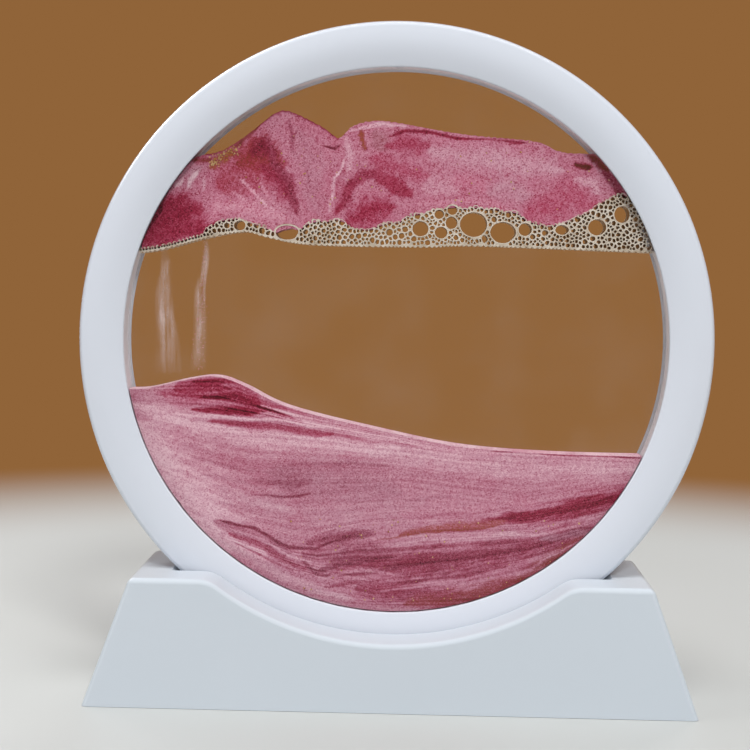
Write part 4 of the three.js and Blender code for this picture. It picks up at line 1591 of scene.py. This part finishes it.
class SANDFRAME_OT_stage(bpy.types.Operator):
    """Sets the floor, the light and the camera."""

    bl_idname = "sand_frame.stage"
    bl_label = "Stage"

    def execute(self, context):
        stage = settings_of(context).stage
        make_floor(stage)
        light_room(context.scene, stage)
        # Each light's power, place, width and height: first those that no surface mirrors
        shading = (
            ("key_softbox", stage.key_power, (0.62, -2.0, 1.77), 0.5, 0.5),
            ("top_softbox", stage.top_power, (0.12, -0.9, 2.9), 1.25, 1.25),
            ("fill_softbox", stage.fill_power, (-1.7, -0.5, 0.9), 1.0, 1.0),
            ("back_softbox", stage.back_power, (0.6, 1.8, 1.4), 0.8, 0.8),
        )
        for lamp in shading:
            soft_light(*lamp).visible_glossy = False
        # These only show as a shine
        shining = (
            ("over_strip", stage.strip_power, (0, 0.25, 0.95), 1.0, 0.06),
            ("edge_softbox", stage.edge_power, (-0.5, 0.35, 0.62), 0.6, 0.5),
        )
        for lamp in shining:
            soft_light(*lamp).visible_diffuse = False
        place_camera(context.scene, stage)
        context.scene.view_settings.view_transform = "Standard"
        # Light crosses six faces of glass and water on its way in, and as many on its way out
        context.scene.cycles.transparent_max_bounces = 24
        return {"FINISHED"}


def seen_share(board):
    """1 for rays that show the background itself, and 0 for rays that light the object."""
    kinds = ("Is Camera Ray", "Is Glossy Ray", "Is Transmission Ray")
    camera, glossy, transmitted = (board.node("ShaderNodeLightPath", {}, {}, kind) for kind in kinds)
    return (camera + glossy + transmitted).limited()


FLOOR_RADII = (0, 0.2, 0.5, 1, 3, 9)
FLOOR_STEPS = 64
FLOOR_DROP = 0.1 * MM


def make_floor(stage):
    """A wide round floor that is pale near the object and fades into the backdrop."""
    points = []
    for turn in np.linspace(0, 2 * math.pi, FLOOR_STEPS, endpoint=False):
        points += [(radius * math.sin(turn), radius * math.cos(turn), -FLOOR_DROP) for radius in FLOOR_RADII]
    floor = mesh_piece("studio_floor", points, grid_faces(FLOOR_STEPS, len(FLOOR_RADII), close_rows=True))
    tidy_mesh(floor)
    board = new_finish("pale_floor")
    place = board.object_place()
    far = board.node("ShaderNodeVectorMath", {"operation": "LENGTH"}, {0: place}, "Value")
    spread = 1 / (stage.fade_end - stage.fade_start)
    fade = ((far - stage.fade_start) * spread).limited()
    fade = fade * fade * (3 - 2 * fade)
    base = board.mix(board.noise(place, 12, 3), stage.floor, stage.floor_shade)
    near = board.node("ShaderNodeBsdfPrincipled", {}, {"Base Color": base, "Roughness": 0.6})
    away = board.node("ShaderNodeEmission", {}, {"Color": stage.backdrop, "Strength": 1.0})
    shader = board.node("ShaderNodeMixShader", {}, {0: fade * seen_share(board), 1: near, 2: away})
    board.node("ShaderNodeOutputMaterial", {}, {"Surface": shader})
    floor.data.materials.append(board.owner)


def light_room(scene, stage):
    """Even light from all round, and the backdrop's colour wherever the room itself shows."""
    scene.world = bpy.data.worlds.new("studio")
    board = NodeBoard(scene.world)
    daylight = {"Color": stage.world_colour, "Strength": stage.world_strength}
    light = board.node("ShaderNodeBackground", {}, daylight)
    shown = board.node("ShaderNodeBackground", {}, {"Color": stage.backdrop, "Strength": 1.0})
    shader = board.node("ShaderNodeMixShader", {}, {0: seen_share(board), 1: light, 2: shown})
    board.node("ShaderNodeOutputWorld", {}, {"Surface": shader})


def soft_light(name, watts, place, width, height):
    """A soft rectangular light that faces the ring's centre, and the object that holds it."""
    lamp = bpy.data.lights.new(name, "AREA")
    lamp.energy = watts
    lamp.shape = "RECTANGLE"
    lamp.size = width
    lamp.size_y = height
    holder = bpy.data.objects.new(name, lamp)
    holder.location = place
    aim = Vector((0, 0, RING_CENTRE)) - holder.location
    holder.rotation_euler = aim.to_track_quat("-Z", "Y").to_euler()
    bpy.context.scene.collection.objects.link(holder)
    return holder


def place_camera(scene, stage):
    """Sets the camera at its distance from its target, turned, raised and tilted."""
    camera = bpy.data.cameras.new("photo_camera")
    camera.lens = stage.lens
    camera.sensor_width = 36
    camera.clip_start = 0.01
    holder = bpy.data.objects.new("photo_camera", camera)
    level = math.cos(stage.elevation)
    height = math.sin(stage.elevation)
    back = Vector((math.sin(stage.azimuth) * level, -math.cos(stage.azimuth) * level, height))
    right = Vector((0, 0, 1)).cross(back).normalized()
    up = back.cross(right)
    turned_right = right * math.cos(stage.roll) + up * math.sin(stage.roll)
    turned_up = up * math.cos(stage.roll) - right * math.sin(stage.roll)
    turn = Matrix((turned_right, turned_up, back)).transposed().to_4x4()
    holder.matrix_world = Matrix.Translation(Vector(stage.target) + back * stage.distance) @ turn
    scene.collection.objects.link(holder)
    scene.camera = holder


OPERATORS = (
    SANDFRAME_OT_stage,
    SANDFRAME_OT_stand,
    SANDFRAME_OT_ring,
    SANDFRAME_OT_cell,
    SANDFRAME_OT_water,
    SANDFRAME_OT_held_sand,
    SANDFRAME_OT_dune,
    SANDFRAME_OT_bubbles,
    SANDFRAME_OT_stream,
    SANDFRAME_OT_glitter,
)


class SANDFRAME_PT_panel(bpy.types.Panel):
    """Lists the settings and the pieces of the sand frame."""

    bl_idname = "SANDFRAME_PT_panel"
    bl_label = "Sand frame"
    bl_space_type = "VIEW_3D"
    bl_region_type = "UI"
    bl_category = "Sand frame"

    def draw(self, context):
        settings = settings_of(context)
        for group in (settings.ring, settings.stand, settings.filling, settings.colours, settings.stage):
            box = self.layout.box()
            for name in group.__annotations__:
                box.prop(group, name)
        for operator in OPERATORS:
            self.layout.operator(operator.bl_idname)


GROUPS = (RingSizes, StandSizes, FillingSizes, FinishColours, StageSettings, SandFrameSettings)
CLASSES = (*GROUPS, *OPERATORS, SANDFRAME_PT_panel)


def register():
    for item in CLASSES:
        bpy.utils.register_class(item)
    bpy.types.Scene.sand_frame = PointerProperty(type=SandFrameSettings)


def unregister():
    del bpy.types.Scene.sand_frame
    for item in reversed(CLASSES):
        bpy.utils.unregister_class(item)


def main():
    register()
    for operator in OPERATORS:
        getattr(bpy.ops.sand_frame, operator.bl_idname.split(".")[1])()


if __name__ == "__main__":
    main()
